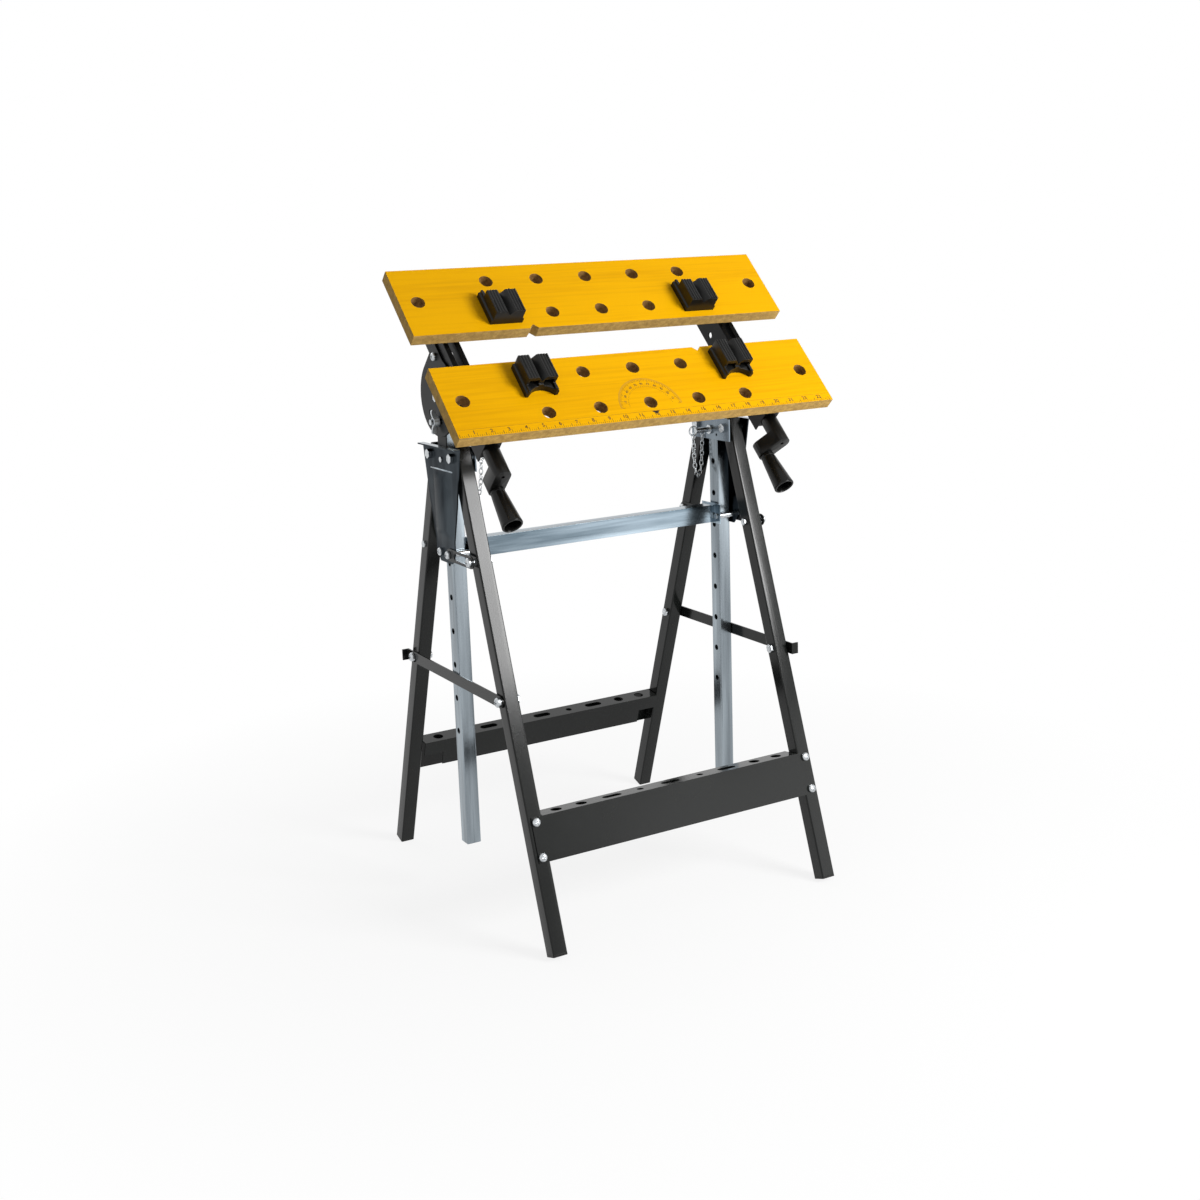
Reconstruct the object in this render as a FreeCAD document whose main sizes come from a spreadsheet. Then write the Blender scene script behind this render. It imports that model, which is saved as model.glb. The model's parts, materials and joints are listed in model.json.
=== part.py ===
"""Folding workbench with a tilting vise table, as an assembly of separate pieces.

Frame: X to the right, Y to the rear, Z up; the origin is on the floor under the middle. Sizes in mm.
"""
import FreeCAD
import Part
import Sketcher
import math
import os
from FreeCAD import Placement, Rotation, Vector

SIZES = {
    "tube": (22, "side of the square leg and post tubes"),
    "tube_wall": (1.5, "wall of the tubes"),
    "tube_round": (2, "outer corner radius of the tubes"),
    "leg_inner": (218, "inner face of legs and posts from the middle"),
    "lean": (18.55, "lean of the legs in degrees"),
    "leg_spread": (36, "leg pivot from the post middle"),
    "leg_height": (661, "leg pivot above the floor"),
    "leg_top": (12, "leg above its pivot"),
    "cap_plate": (4, "thickness of the foot cap"),
    "cap_plug": (15, "plug of the foot cap inside the tube"),
    "slide_gap": (0.3, "gap between flat faces that slide"),
    "turn_gap": (0.35, "gap around a shaft that turns"),
    "bolt_gap": (0.15, "gap around a fixed bolt"),
    "large_bolt": (8, "diameter of pivot bolts, studs and lock pins"),
    "small_bolt": (6, "diameter of link, guide and rail bolts"),
    "sheet": (2, "sheet of plates, links and channels"),
    "plate_gap": (2.5, "head plates from the legs"),
    "plate_half": (60, "half width of the outer head plates at the top"),
    "plate_rise": (14, "top of the head plates above the leg pivots"),
    "plate_lip": (8, "out-turned lip of the outer head plates"),
    "trough_rise": (3.5, "pressed-out trough of the outer head plates"),
    "inner_plate_drop": (20, "lower edge of the inner head plates below the leg pivots"),
    "inner_plate_half": (50, "half width of the inner head plates"),
    "guide_spread": (15.7, "guide bolt from the post middle"),
    "bar_drop": (9.6, "lower edge of the crossbar below the guide bolts"),
    "bar_tall": (27, "height of the crossbar"),
    "bar_deep": (22, "depth of the crossbar"),
    "bar_wall": (1.5, "sheet of the crossbar"),
    "ear_reach": (8.3, "ears of the crossbar beyond the guide bolts"),
    "link_drop": (147, "link bolt down the leg from its pivot"),
    "link_half": (9, "half width of a link"),
    "link_slot": (9.7, "width of the slot in a link"),
    "brace_drop": (342.8, "brace bolt down the leg from its pivot"),
    "brace_tall": (17, "width of the brace bar"),
    "brace_thick": (2.5, "thickness of the brace bar"),
    "brace_tip": (22, "brace bar beyond the hook"),
    "hook_turn": (36.87, "slant of the hook mouth in degrees"),
    "rail_low": (126.5, "lower edge of the rail along the leg from the foot"),
    "rail_tall": (62.5, "web of the rail"),
    "rail_short": (5, "ends of the rail inside the outer faces of the legs"),
    "rail_sheet": (1.5, "sheet of the rail"),
    "rail_shelf": (30, "depth of the rail shelf"),
    "rail_flange": (47, "inner flange of the rail"),
    "flange_notch": (33, "length of the notch in the flange ends"),
    "flange_end": (24, "height of the flange over its end notches"),
    "rail_hole": (16, "diameter of the large rail holes"),
    "rail_hole_near": (148, "inner large rail holes from the middle"),
    "rail_hole_far": (188, "outer large rail holes from the middle"),
    "rail_small_hole": (10, "diameter of the small rail holes"),
    "rail_small_side": (51, "small rail holes from the middle"),
    "rail_slot": (12, "width of the rail slots"),
    "rail_slot_long": (30, "length of the rail slots"),
    "rail_slot_step": (98, "spacing of the rail slots"),
    "shelf_gap": (1.5, "ends of the rail shelf from the legs"),
    "shelf_open": (10.5, "shelf from a right angle to the web in degrees"),
    "rail_bolt_low": (134, "lower rail bolt along the leg from the foot"),
    "rail_bolt_high": (182, "upper rail bolt along the leg from the foot"),
    "post_low": (83, "lower end of the posts"),
    "post_cover": (24, "upper end of the posts below the table pivot"),
    "pin_drop": (5, "lock pins below the leg pivots"),
    "pin_step": (50, "spacing of the height holes"),
    "upright_half": (14, "half width of the post uprights"),
    "upright_drop": (76, "lower end of the post uprights below the table pivot"),
    "upright_sheet": (1.5, "sheet of the post uprights"),
    "tilt_rise": (83, "table pivot above the leg pivots"),
    "tilt": (45, "tilt of the table in degrees"),
    "stud_drop": (34.5, "tilt stud below the table pivot"),
    "channel_set": (1, "inner face of the jaw channels inside the posts"),
    "channel_wide": (25, "width of the jaw channels"),
    "channel_low": (24, "bottom of the jaw channels above the table pivot"),
    "channel_tall": (44, "height of the jaw channels"),
    "channel_front": (136, "front end of the jaw channels from the pivot"),
    "channel_rear": (162, "rear end of the jaw channels from the pivot"),
    "slot_wide": (10, "slot in the top of the jaw channels"),
    "slot_front": (76, "slot from the front end of the jaw channels"),
    "slot_rear": (12, "slot from the rear end of the jaw channels"),
    "quadrant_half": (56, "half width of the quadrants"),
    "quadrant_thick": (3, "sheet of the quadrants"),
    "quadrant_top": (52, "top of the quadrants above the pivot"),
    "rivet_side": (40, "quadrant rivets from the pivot, along the table"),
    "rivet_up": (39, "quadrant rivets from the pivot, across the table"),
    "carrier_tall": (22, "board brackets between channel and board"),
    "carrier_long": (60, "length of the board brackets"),
    "board_long": (605, "length of the boards"),
    "board_deep": (120, "depth of the boards"),
    "board_thick": (18, "thickness of the boards"),
    "jaw_gap": (57, "gap between the boards"),
    "front_edge": (158, "front edge of the table from the pivot"),
    "hole_wide": (20, "diameter of the dog holes"),
    "hole_row": (28, "dog hole rows from the long edges"),
    "hole_step": (80, "spacing of the dog holes"),
    "hole_end": (27.5, "end holes from the ends of the boards"),
    "notch_side": (120, "notch in the jaw edge from the middle"),
    "notch_half": (7, "half width and depth of the notch"),
    "screw_wide": (12, "diameter of the lead screws"),
    "screw_drop": (22, "lead screw below the channel top"),
    "nut_wide": (17, "width of the travelling nuts"),
    "neck_wide": (8, "neck of the travelling nuts in the slot"),
    "crank_reach": (28.5, "crank radius"),
    "hub_wide": (24, "diameter of the crank hub"),
    "arm_thick": (22, "thickness of the crank arm"),
    "grip_long": (59.6, "length of the crank grips"),
    "spindle_wide": (8, "diameter of the grip spindle"),
    "dog_step": (160, "dogs from the middle"),
    "peg_play": (0.3, "gap around the dog peg"),
    "dog_half": (25, "half width of the dog foot"),
    "dog_tall": (25, "height of the dogs above the board"),
    "dog_near": (17, "dog from its peg to the gap side"),
    "dog_far": (36, "dog from its peg to the outer end"),
    "chain_wire": (1.6, "half thickness of the hanging chain"),
    "ring_reach": (31.5, "pull ring inside the inner head plates"),
    "pin_out": (1.5, "lock pin beyond the outer head plates"),
}

doc = FreeCAD.newDocument("folding_workbench")
sheet = doc.addObject("Spreadsheet::Sheet", "Sizes")
for row, (alias, (amount, note)) in enumerate(SIZES.items(), start=1):
    sheet.set(f"A{row}", note)
    sheet.set(f"B{row}", str(amount))
    sheet.setAlias(f"B{row}", alias)
doc.recompute()


class Size:
    """A number together with the spreadsheet formula that it comes from."""

    def __init__(self, value, formula):
        self.value = float(value)
        self.formula = formula

    @staticmethod
    def of(other):
        """Wrap a plain number."""
        return other if isinstance(other, Size) else Size(other, f"({other})")

    def _with(self, other, sign, value):
        return Size(value, f"({self.formula} {sign} {Size.of(other).formula})")

    def __add__(self, other):
        return self._with(other, "+", self.value + Size.of(other).value)

    def __sub__(self, other):
        return self._with(other, "-", self.value - Size.of(other).value)

    def __mul__(self, other):
        return self._with(other, "*", self.value * Size.of(other).value)

    def __truediv__(self, other):
        return self._with(other, "/", self.value / Size.of(other).value)

    def __radd__(self, other):
        return Size.of(other) + self

    def __rsub__(self, other):
        return Size.of(other) - self

    def __rmul__(self, other):
        return Size.of(other) * self

    def __neg__(self):
        return Size(-self.value, f"(-1 * {self.formula})")


class Named:
    """The sheet's sizes as attributes."""

    def __getattr__(self, alias):
        return Size(SIZES[alias][0], f"Sizes.{alias}")


S = Named()


def sine(angle):
    """Sine of an angle in degrees."""
    return Size(math.sin(math.radians(angle.value)), f"sin({angle.formula} * 1deg)")


def cosine(angle):
    """Cosine of an angle in degrees."""
    return Size(math.cos(math.radians(angle.value)), f"cos({angle.formula} * 1deg)")


def bind(obj, prop, amount):
    """Set a property to a number or tie it to the sheet."""
    if isinstance(amount, Size):
        obj.setExpression(prop, amount.formula)
    else:
        setattr(obj, prop, amount)


def number(amount):
    """Plain value of a number or size."""
    return Size.of(amount).value


def place(obj, at, turn=0, axis=Vector(1, 0, 0)):
    """Put an object at a point, turned about an axis by an angle in degrees."""
    point = Vector(*[number(c) for c in at])
    obj.Placement = Placement(point, Rotation(axis, number(turn)))
    for letter, coordinate in zip("xyz", at):
        if isinstance(coordinate, Size):
            obj.setExpression(f".Placement.Base.{letter}", coordinate.formula)
    if isinstance(turn, Size):
        obj.setExpression(".Placement.Rotation.Angle", turn.formula)
    return obj


def flip(span, sign):
    """Mirror a pair of limits."""
    return span if sign > 0 else (-Size.of(span[1]), -Size.of(span[0]))


def block(xs, ys, zs, side=1, end=1, label="block"):
    """Box between limits; side mirrors it in X and end in Y."""
    xs = flip(xs, side)
    ys = flip(ys, end)
    box = doc.addObject("Part::Box", label)
    bind(box, "Length", Size.of(xs[1]) - xs[0])
    bind(box, "Width", Size.of(ys[1]) - ys[0])
    bind(box, "Height", Size.of(zs[1]) - zs[0])
    return place(box, (xs[0], ys[0], zs[0]))


def rounded(box, edges, radius):
    """Box with some of its edges rounded."""
    soft = doc.addObject("Part::Fillet", "rounded")
    soft.Base = box
    soft.Edges = [(edge, radius, radius) for edge in edges]
    return soft


def rod(axis, centre, radius, span, side=1, end=1, label="rod"):
    """Cylinder along an axis; centre holds the other two coordinates in order."""
    first, second = centre
    if axis == "X":
        span = flip(span, side)
        at = (span[0], end * Size.of(first), second)
        spin, about = 90, Vector(0, 1, 0)
    elif axis == "Y":
        span = flip(span, end)
        at = (side * Size.of(first), span[0], second)
        spin, about = -90, Vector(1, 0, 0)
    else:
        at = (side * Size.of(first), end * Size.of(second), span[0])
        spin, about = 0, Vector(0, 0, 1)
    cylinder = doc.addObject("Part::Cylinder", label)
    bind(cylinder, "Radius", Size.of(radius))
    bind(cylinder, "Height", Size.of(span[1]) - span[0])
    return place(cylinder, at, spin, about)


def hexagon(centre, radius, span, side=1, end=1):
    """Six-sided head or nut along X."""
    span = flip(span, side)
    prism = doc.addObject("Part::Prism", "hexagon")
    prism.Polygon = 6
    bind(prism, "Circumradius", Size.of(radius))
    bind(prism, "Height", Size.of(span[1]) - span[0])
    return place(prism, (span[0], end * Size.of(centre[0]), centre[1]), 90, Vector(0, 1, 0))


def join(pieces):
    """One solid from several that overlap."""
    if len(pieces) == 1:
        return pieces[0]
    whole = doc.addObject("Part::MultiFuse", "joined")
    whole.Shapes = pieces
    return whole


def cut(base, tools):
    """Base with the tools taken away."""
    rest = doc.addObject("Part::Cut", "cut")
    rest.Base = base
    rest.Tool = join(tools)
    return rest


def group(pieces):
    """Several separate solids under one name."""
    whole = doc.addObject("Part::Compound", "group")
    whole.Links = pieces
    return whole


def ring(axis, centre, radius, bore, span, side=1, end=1):
    """Washer or sleeve."""
    long_span = (span[0] - 1, span[1] + 1)
    outer = rod(axis, centre, radius, span, side, end)
    return cut(outer, [rod(axis, centre, bore, long_span, side, end)])


def outline(body, role, corners, offset):
    """Closed sketch of straight sides on one of the body's planes, its corners tied to the sheet."""
    sketch = body.newObject("Sketcher::SketchObject", "outline")
    plane = [part for part in body.Origin.OriginFeatures if part.Role == role][0]
    sketch.AttachmentSupport = [(plane, "")]
    sketch.MapMode = "FlatFace"
    sketch.AttachmentOffset = Placement(Vector(0, 0, number(offset)), Rotation())
    if isinstance(offset, Size):
        sketch.setExpression(".AttachmentOffset.Base.z", offset.formula)
    points = [Vector(number(u), number(v), 0) for u, v in corners]
    count = len(points)
    for index in range(count):
        sketch.addGeometry(Part.LineSegment(points[index], points[(index + 1) % count]), False)
    for index in range(count):
        sketch.addConstraint(Sketcher.Constraint("Coincident", index, 2, (index + 1) % count, 1))
    for index, corner in enumerate(corners):
        for kind, amount in zip(("DistanceX", "DistanceY"), corner):
            made = sketch.addConstraint(Sketcher.Constraint(kind, index, 1, number(amount)))
            if isinstance(amount, Size):
                sketch.setExpression(f"Constraints[{made}]", amount.formula)
    return sketch


def padded(role, corners, offset, length):
    """Body of one outline with a thickness."""
    body = doc.addObject("PartDesign::Body", "body")
    pad = body.newObject("PartDesign::Pad", "pad")
    pad.Profile = outline(body, role, corners, offset)
    bind(pad, "Length", length)
    return body


def turned(corners):
    """Body of one outline revolved about Y."""
    body = doc.addObject("PartDesign::Body", "body")
    spin = body.newObject("PartDesign::Revolution", "spin")
    profile = outline(body, "YZ_Plane", corners, 0)
    spin.Profile = profile
    spin.ReferenceAxis = (profile, ["H_Axis"])
    spin.Angle = 360
    return body


NODES = []


def node(name, obj, at=None, turn=0):
    """Name a finished piece and put it in its place."""
    obj.Label = name
    if at is not None:
        place(obj, at, turn)
    NODES.append(obj)


SIDES = (("left", -1), ("right", 1))
ENDS = (("front", -1), ("rear", 1))
half_tube = S.tube / 2
leg_outer = S.leg_inner + S.tube
tube_mid = S.leg_inner + half_tube
leg_reach = (S.leg_height - half_tube * sine(S.lean)) / cosine(S.lean)
large = S.large_bolt / 2
small = S.small_bolt / 2
large_fixed = large + S.bolt_gap
small_fixed = small + S.bolt_gap
large_loose = large + S.turn_gap
small_loose = small + S.turn_gap
plate_outer = leg_outer + S.plate_gap
plate_inner = S.leg_inner - S.plate_gap - S.sheet
rail_half = leg_outer - S.rail_short
shelf_half = S.leg_inner - S.shelf_gap
channel_inner = S.leg_inner - S.channel_set
plate_face = plate_outer + S.sheet
inner_face = plate_inner + S.sheet
link_outer = (plate_face + 0.5, plate_face + 0.5 + S.sheet)
link_inner = (S.leg_inner - S.slide_gap - S.sheet, S.leg_inner - S.slide_gap)
brace_side = (leg_outer + S.slide_gap, leg_outer + S.slide_gap + S.brace_thick)
foot = -leg_reach
plate_top = S.leg_height + S.plate_rise
inner_plate_low = S.leg_height - S.inner_plate_drop
guide_height = S.leg_height - S.link_drop * cosine(S.lean)
bar_low = guide_height - S.bar_drop
pin_height = S.leg_height - S.pin_drop
tilt_height = S.leg_height + S.tilt_rise
post_top = tilt_height - S.post_cover
upright_low = tilt_height - S.upright_drop
bolt_rows = (foot + S.rail_bolt_low, foot + S.rail_bolt_high)

# Legs with their foot caps, hung at the pivot and leaning outwards
for end_name, end in ENDS:
    seat = (0, end * S.leg_spread, S.leg_height)
    lean = end * S.lean
    caps = []
    for side_name, side in SIDES:
        long_zs = (foot + S.cap_plate, S.leg_top)
        tube = block((S.leg_inner, leg_outer), (-half_tube, half_tube), long_zs, side, end)
        tube = rounded(tube, (1, 3, 5, 7), SIZES["tube_round"][0])
        bore_half = half_tube - S.tube_wall
        bore_xs = (S.leg_inner + S.tube_wall, leg_outer - S.tube_wall)
        wide_xs = (S.leg_inner - 1, leg_outer + 1)
        tools = [block(bore_xs, (-bore_half, bore_half), (foot, S.leg_top + 1), side, end)]
        tools.append(rod("X", (0, 0), large_loose, wide_xs, side))
        tools.append(rod("X", (0, -S.link_drop), small_fixed, wide_xs, side))
        tools.append(rod("X", (0, -S.brace_drop), large_fixed, wide_xs, side))
        for height in bolt_rows:
            tools.append(rod("Y", (tube_mid, height), small_fixed, (bore_half - 1, half_tube + 1), side, end))
        node(f"leg_{end_name}_{side_name}", cut(tube, tools), seat, lean)
        plate = block((S.leg_inner, leg_outer), (-half_tube, half_tube), (foot, foot + S.cap_plate), side, end)
        plate = rounded(plate, (1, 3, 5, 7), SIZES["tube_round"][0])
        plug_half = bore_half - S.bolt_gap
        plug_xs = (bore_xs[0] + S.bolt_gap, bore_xs[1] - S.bolt_gap)
        plug = block(plug_xs, (-plug_half, plug_half), (foot + 1, foot + S.cap_plate + S.cap_plug), side, end)
        caps.append(join([plate, plug]))
    node(f"{end_name}_foot_caps", group(caps), seat, lean)

# Tool rails, folded over the tools: web on the legs, shelf with a row of holes, notched inner flange
shelf_cos = cosine(S.shelf_open)
shelf_sin = sine(S.shelf_open)
web_out = half_tube + S.rail_sheet
web_low = foot + S.rail_low
web_top = web_low + S.rail_tall
tip = (web_out - S.rail_shelf * shelf_cos, web_top + S.rail_shelf * shelf_sin)
flange_low = tip[1] - S.rail_flange
flange_in = tip[0] + S.rail_sheet
shelf_under = web_top - S.rail_sheet / shelf_cos
slope = shelf_sin / shelf_cos
RAIL = (
    (web_out, web_low),
    (web_out, web_top),
    tip,
    (tip[0], flange_low),
    (flange_in, flange_low),
    (flange_in, shelf_under + (web_out - flange_in) * slope),
    (half_tube, shelf_under + S.rail_sheet * slope),
    (half_tube, web_low),
)
for end_name, end in ENDS:
    seat = (0, end * S.leg_spread, S.leg_height)
    corners = [(end * u, v) for u, v in RAIL]
    web = padded("YZ_Plane", corners, -rail_half, 2 * rail_half)
    tools = []
    for side_name, side in SIDES:
        room = (half_tube - S.rail_shelf - 5, half_tube)
        tools.append(block((shelf_half, rail_half + 5), room, (flange_low - 5, tip[1] + 5), side, end))
        notch_zs = (flange_low - 5, tip[1] - S.flange_end)
        tools.append(block((shelf_half - S.flange_notch, shelf_half + 5), room, notch_zs, side, end))
        for height in bolt_rows:
            tools.append(rod("Y", (tube_mid, height), small_fixed, (half_tube - 1, web_out + 1), side, end))
    holes = []
    middle = -S.rail_shelf / 2
    for across in (S.rail_hole_near, S.rail_hole_far):
        for side in (-1, 1):
            holes.append(rod("Z", (across, middle), S.rail_hole / 2, (-6, 4), side, end))
    slot_end = (S.rail_slot_long - S.rail_slot) / 2
    slot_half = S.rail_slot / 2
    for side in (-1, 1):
        holes.append(rod("Z", (S.rail_small_side, middle), S.rail_small_hole / 2, (-6, 4), side, end))
    for step in (-1, 0, 1):
        across = step * S.rail_slot_step
        slot_xs = (across - slot_end, across + slot_end)
        holes.append(block(slot_xs, (middle - slot_half, middle + slot_half), (-6, 4), 1, end))
        for tip_x in slot_xs:
            holes.append(rod("Z", (tip_x, middle), slot_half, (-6, 4), 1, end))
    pierced = cut(web, tools)
    row = place(join(holes), (0, end * web_out, web_top), -end * S.shelf_open)
    node(f"{end_name}_tool_rail", cut(pierced, [row]), seat, end * S.lean)

# Fasteners that ride with the legs: rail bolts, link bolts, brace bolts
for end_name, end in ENDS:
    seat = (0, end * S.leg_spread, S.leg_height)
    solids = []
    for side_name, side in SIDES:
        for height in bolt_rows:
            shank = rod("Y", (tube_mid, height), small, (half_tube - 5, web_out + 1), side, end)
            head = rod("Y", (tube_mid, height), 6, (web_out, web_out + 3.2), side, end)
            solids.append(join([shank, head]))
        spot = (0, -S.link_drop)
        nut_xs = (S.leg_inner - 4.5, S.leg_inner)
        if end < 0:
            shank = rod("X", spot, small, (nut_xs[0] - 1, link_outer[1] + 1), side)
            collar = rod("X", spot, small + 2, (leg_outer, link_outer[0] - S.slide_gap), side)
            head = rod("X", spot, small + 3.5, (link_outer[1] + S.slide_gap, link_outer[1] + 3.5), side)
            solids.append(join([shank, collar, head, hexagon(spot, 5.5, nut_xs, side)]))
        else:
            shank = rod("X", spot, small, (link_inner[0] - 2, leg_outer + 1), side)
            head = rod("X", spot, small + 3.5, (link_inner[0] - 3.5, link_inner[0] - S.slide_gap), side)
            solids.append(join([shank, head, hexagon(spot, 5.5, (leg_outer, leg_outer + 3.5), side)]))
        spot = (0, -S.brace_drop)
        shank = rod("X", spot, large, (nut_xs[0] - 1, brace_side[1] + 1), side)
        head = rod("X", spot, large + 3, (brace_side[1] + S.slide_gap, brace_side[1] + 3.8), side)
        solids.append(join([shank, head, hexagon(spot, 7, nut_xs, side)]))
    node(f"{end_name}_leg_fasteners", group(solids), seat, end * S.lean)

# Slotted links between the head and the legs
link_far = (S.leg_spread - S.guide_spread) + S.link_drop * sine(S.lean) + 1
for end_name, end in ENDS:
    xs = link_outer if end < 0 else link_inner
    wide_xs = (xs[0] - 1, xs[1] + 1)
    half_slot = S.link_slot / 2
    for side_name, side in SIDES:
        bar = join([
            block(xs, (0, link_far), (-S.link_half, S.link_half), side, end),
            rod("X", (0, 0), S.link_half, xs, side, end),
            rod("X", (link_far, 0), S.link_half, xs, side, end),
        ])
        tools = [
            rod("X", (0, 0), small_loose, wide_xs, side, end),
            block(wide_xs, (20, link_far), (-half_slot, half_slot), side, end),
            rod("X", (20, 0), half_slot, wide_xs, side, end),
            rod("X", (link_far, 0), half_slot, wide_xs, side, end),
        ]
        node(f"link_{end_name}_{side_name}", cut(bar, tools), (0, end * S.guide_spread, guide_height))

# Hooked braces, the right one turned about the middle
brace_half = S.leg_spread + S.brace_drop * sine(S.lean)
brace_span = 2 * brace_half
brace_height = S.leg_height - S.brace_drop * cosine(S.lean)
for side_name, side in SIDES:
    way = -side
    half = S.brace_tall / 2
    wide_xs = (brace_side[0] - 1, brace_side[1] + 1)
    far = brace_span + S.brace_tip
    bar = join([
        block(brace_side, (0, far), (-half, half), side, way),
        rod("X", (0, 0), half, brace_side, side, way),
        block((brace_side[0], brace_side[1] + 9), (far - S.brace_thick, far), (-half, half), side, way),
    ])
    mouth = block(flip(wide_xs, side), (-large_loose, large_loose), (-24, 0))
    lane = doc.addObject("Part::Compound", "lane")
    lane.Links = [mouth]
    place(lane, (0, way * brace_span, 0), -way * S.hook_turn)
    tools = [
        rod("X", (0, 0), large_loose, wide_xs, side, way),
        rod("X", (brace_span, 0), large_loose, wide_xs, side, way),
        lane,
    ]
    node(f"brace_{side_name}", cut(bar, tools), (0, -way * brace_half, brace_height))

# Head: outer plates with lip and trough, inner plates, crossbar
PLATE = (
    (S.plate_half, plate_top),
    (S.leg_spread + 16, S.leg_height - 27),
    (S.leg_spread + 9, S.leg_height - 65),
    (S.guide_spread + 14.3, guide_height + 19.4),
    (S.guide_spread + 14.3, guide_height + 0.4),
    (S.guide_spread + 2.3, guide_height - 13.6),
)
trough_zs = (guide_height + 26.4, S.leg_height - 23)
for side_name, side in SIDES:
    corners = [(y, z) for y, z in PLATE] + [(-y, z) for y, z in reversed(PLATE)]
    start = plate_outer if side > 0 else -plate_face
    plate = padded("YZ_Plane", corners, start, S.sheet)
    lip_ys = (-S.plate_half, S.plate_half)
    lip = block((plate_outer, plate_face + S.plate_lip), lip_ys, (plate_top - S.sheet, plate_top), side)
    press = []
    for depth in (plate_face, plate_outer):
        wedge = doc.addObject("Part::Wedge", "trough")
        wedge.Xmin, wedge.Xmax, wedge.X2min, wedge.X2max = -27, 27, -20, 20
        for name, amount in zip(("Zmin", "Zmax", "Z2min", "Z2max"), trough_zs + (trough_zs[0] + 8, trough_zs[1] - 10)):
            bind(wedge, name, amount)
        wedge.Ymin = 0
        bind(wedge, "Ymax", S.trough_rise)
        press.append(place(wedge, (side * depth, 0, 0), -90 * side, Vector(0, 0, 1)))
    wide_xs = (plate_outer - 1, plate_face + S.trough_rise + 1)
    tools = [press[1], rod("X", (0, pin_height), large + 0.4, wide_xs, side)]
    for end in (-1, 1):
        tools.append(rod("X", (S.leg_spread, S.leg_height), large_fixed, wide_xs, side, end))
        tools.append(rod("X", (S.guide_spread, guide_height), small_fixed, wide_xs, side, end))
    node(f"head_plate_{side_name}", cut(join([plate, lip, press[0]]), tools))
    inner_xs = (plate_inner, inner_face)
    wide_xs = (plate_inner - 1, inner_face + 1)
    flat = block(inner_xs, (-S.inner_plate_half, S.inner_plate_half), (inner_plate_low, plate_top), side)
    tools = [
        rod("X", (0, pin_height), large + 0.4, wide_xs, side),
        rod("X", (18.8, pin_height - 7.7), 2.2, wide_xs, side),
        rod("X", (-16.6, pin_height - 7.1), 2.2, wide_xs, side),
    ]
    for end in (-1, 1):
        tools.append(rod("X", (S.leg_spread, S.leg_height), large_fixed, wide_xs, side, end))
    node(f"inner_plate_{side_name}", cut(flat, tools))

bar_half = S.bar_deep / 2
bar_top = bar_low + S.bar_tall
bar_xs = (-plate_inner, plate_inner)
bar = block(bar_xs, (-bar_half, bar_half), (bar_low, bar_top))
hollow_zs = (bar_low + S.bar_wall, bar_top - S.bar_wall)
hollow = block((-plate_inner - 1, plate_inner + 1), (-bar_half + S.bar_wall, bar_half + 1), hollow_zs)
ears = []
tools = []
for side in (-1, 1):
    ear_xs = (plate_inner - S.bar_wall, plate_inner)
    ear_half = S.guide_spread + S.ear_reach
    ears.append(block(ear_xs, (-ear_half, ear_half), (bar_low - 2, bar_top + 2), side))
    for end in (-1, 1):
        spot = (S.guide_spread, guide_height)
        tools.append(rod("X", spot, small_fixed, (ear_xs[0] - 1, ear_xs[1] + 1), side, end))
node("crossbar", cut(join([cut(bar, [hollow])] + ears), tools))

# Head bolts: leg pivots with washers, guide bolts with sleeves
solids = []
for side in (-1, 1):
    for end in (-1, 1):
        spot = (S.leg_spread, S.leg_height)
        ends = (plate_inner - 5, plate_face + 5.5)
        solids.append(join([
            rod("X", spot, large, ends, side, end),
            hexagon(spot, 7.2, (plate_face, ends[1]), side, end),
            hexagon(spot, 7.2, (ends[0], plate_inner), side, end),
        ]))
        solids.append(ring("X", spot, 8, large_fixed, (leg_outer + S.slide_gap, plate_outer), side, end))
        solids.append(ring("X", spot, 8, large_fixed, (inner_face, S.leg_inner - S.slide_gap), side, end))
        spot = (S.guide_spread, guide_height)
        sleeve = S.guide_spread - half_tube - S.slide_gap
        low = plate_inner - S.bar_wall
        high = link_outer[1] + S.slide_gap if end < 0 else plate_face
        solids.append(join([
            rod("X", spot, small, (low - 2.5, high + 1), side, end),
            rod("X", spot, 4.4, (low - 2.5, low), side, end),
            rod("X", spot, 5.8, (high, high + 3.2), side, end),
        ]))
        if end < 0:
            solids.append(ring("X", spot, sleeve, small_fixed, (plate_inner, plate_outer), side, end))
        else:
            inner_end = link_inner[0] - S.slide_gap
            solids.append(ring("X", spot, sleeve, small_fixed, (plate_inner, inner_end), side, end))
            solids.append(ring("X", spot, sleeve, small_fixed, (S.leg_inner, plate_outer), side, end))
node("head_bolts", group(solids))

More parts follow.
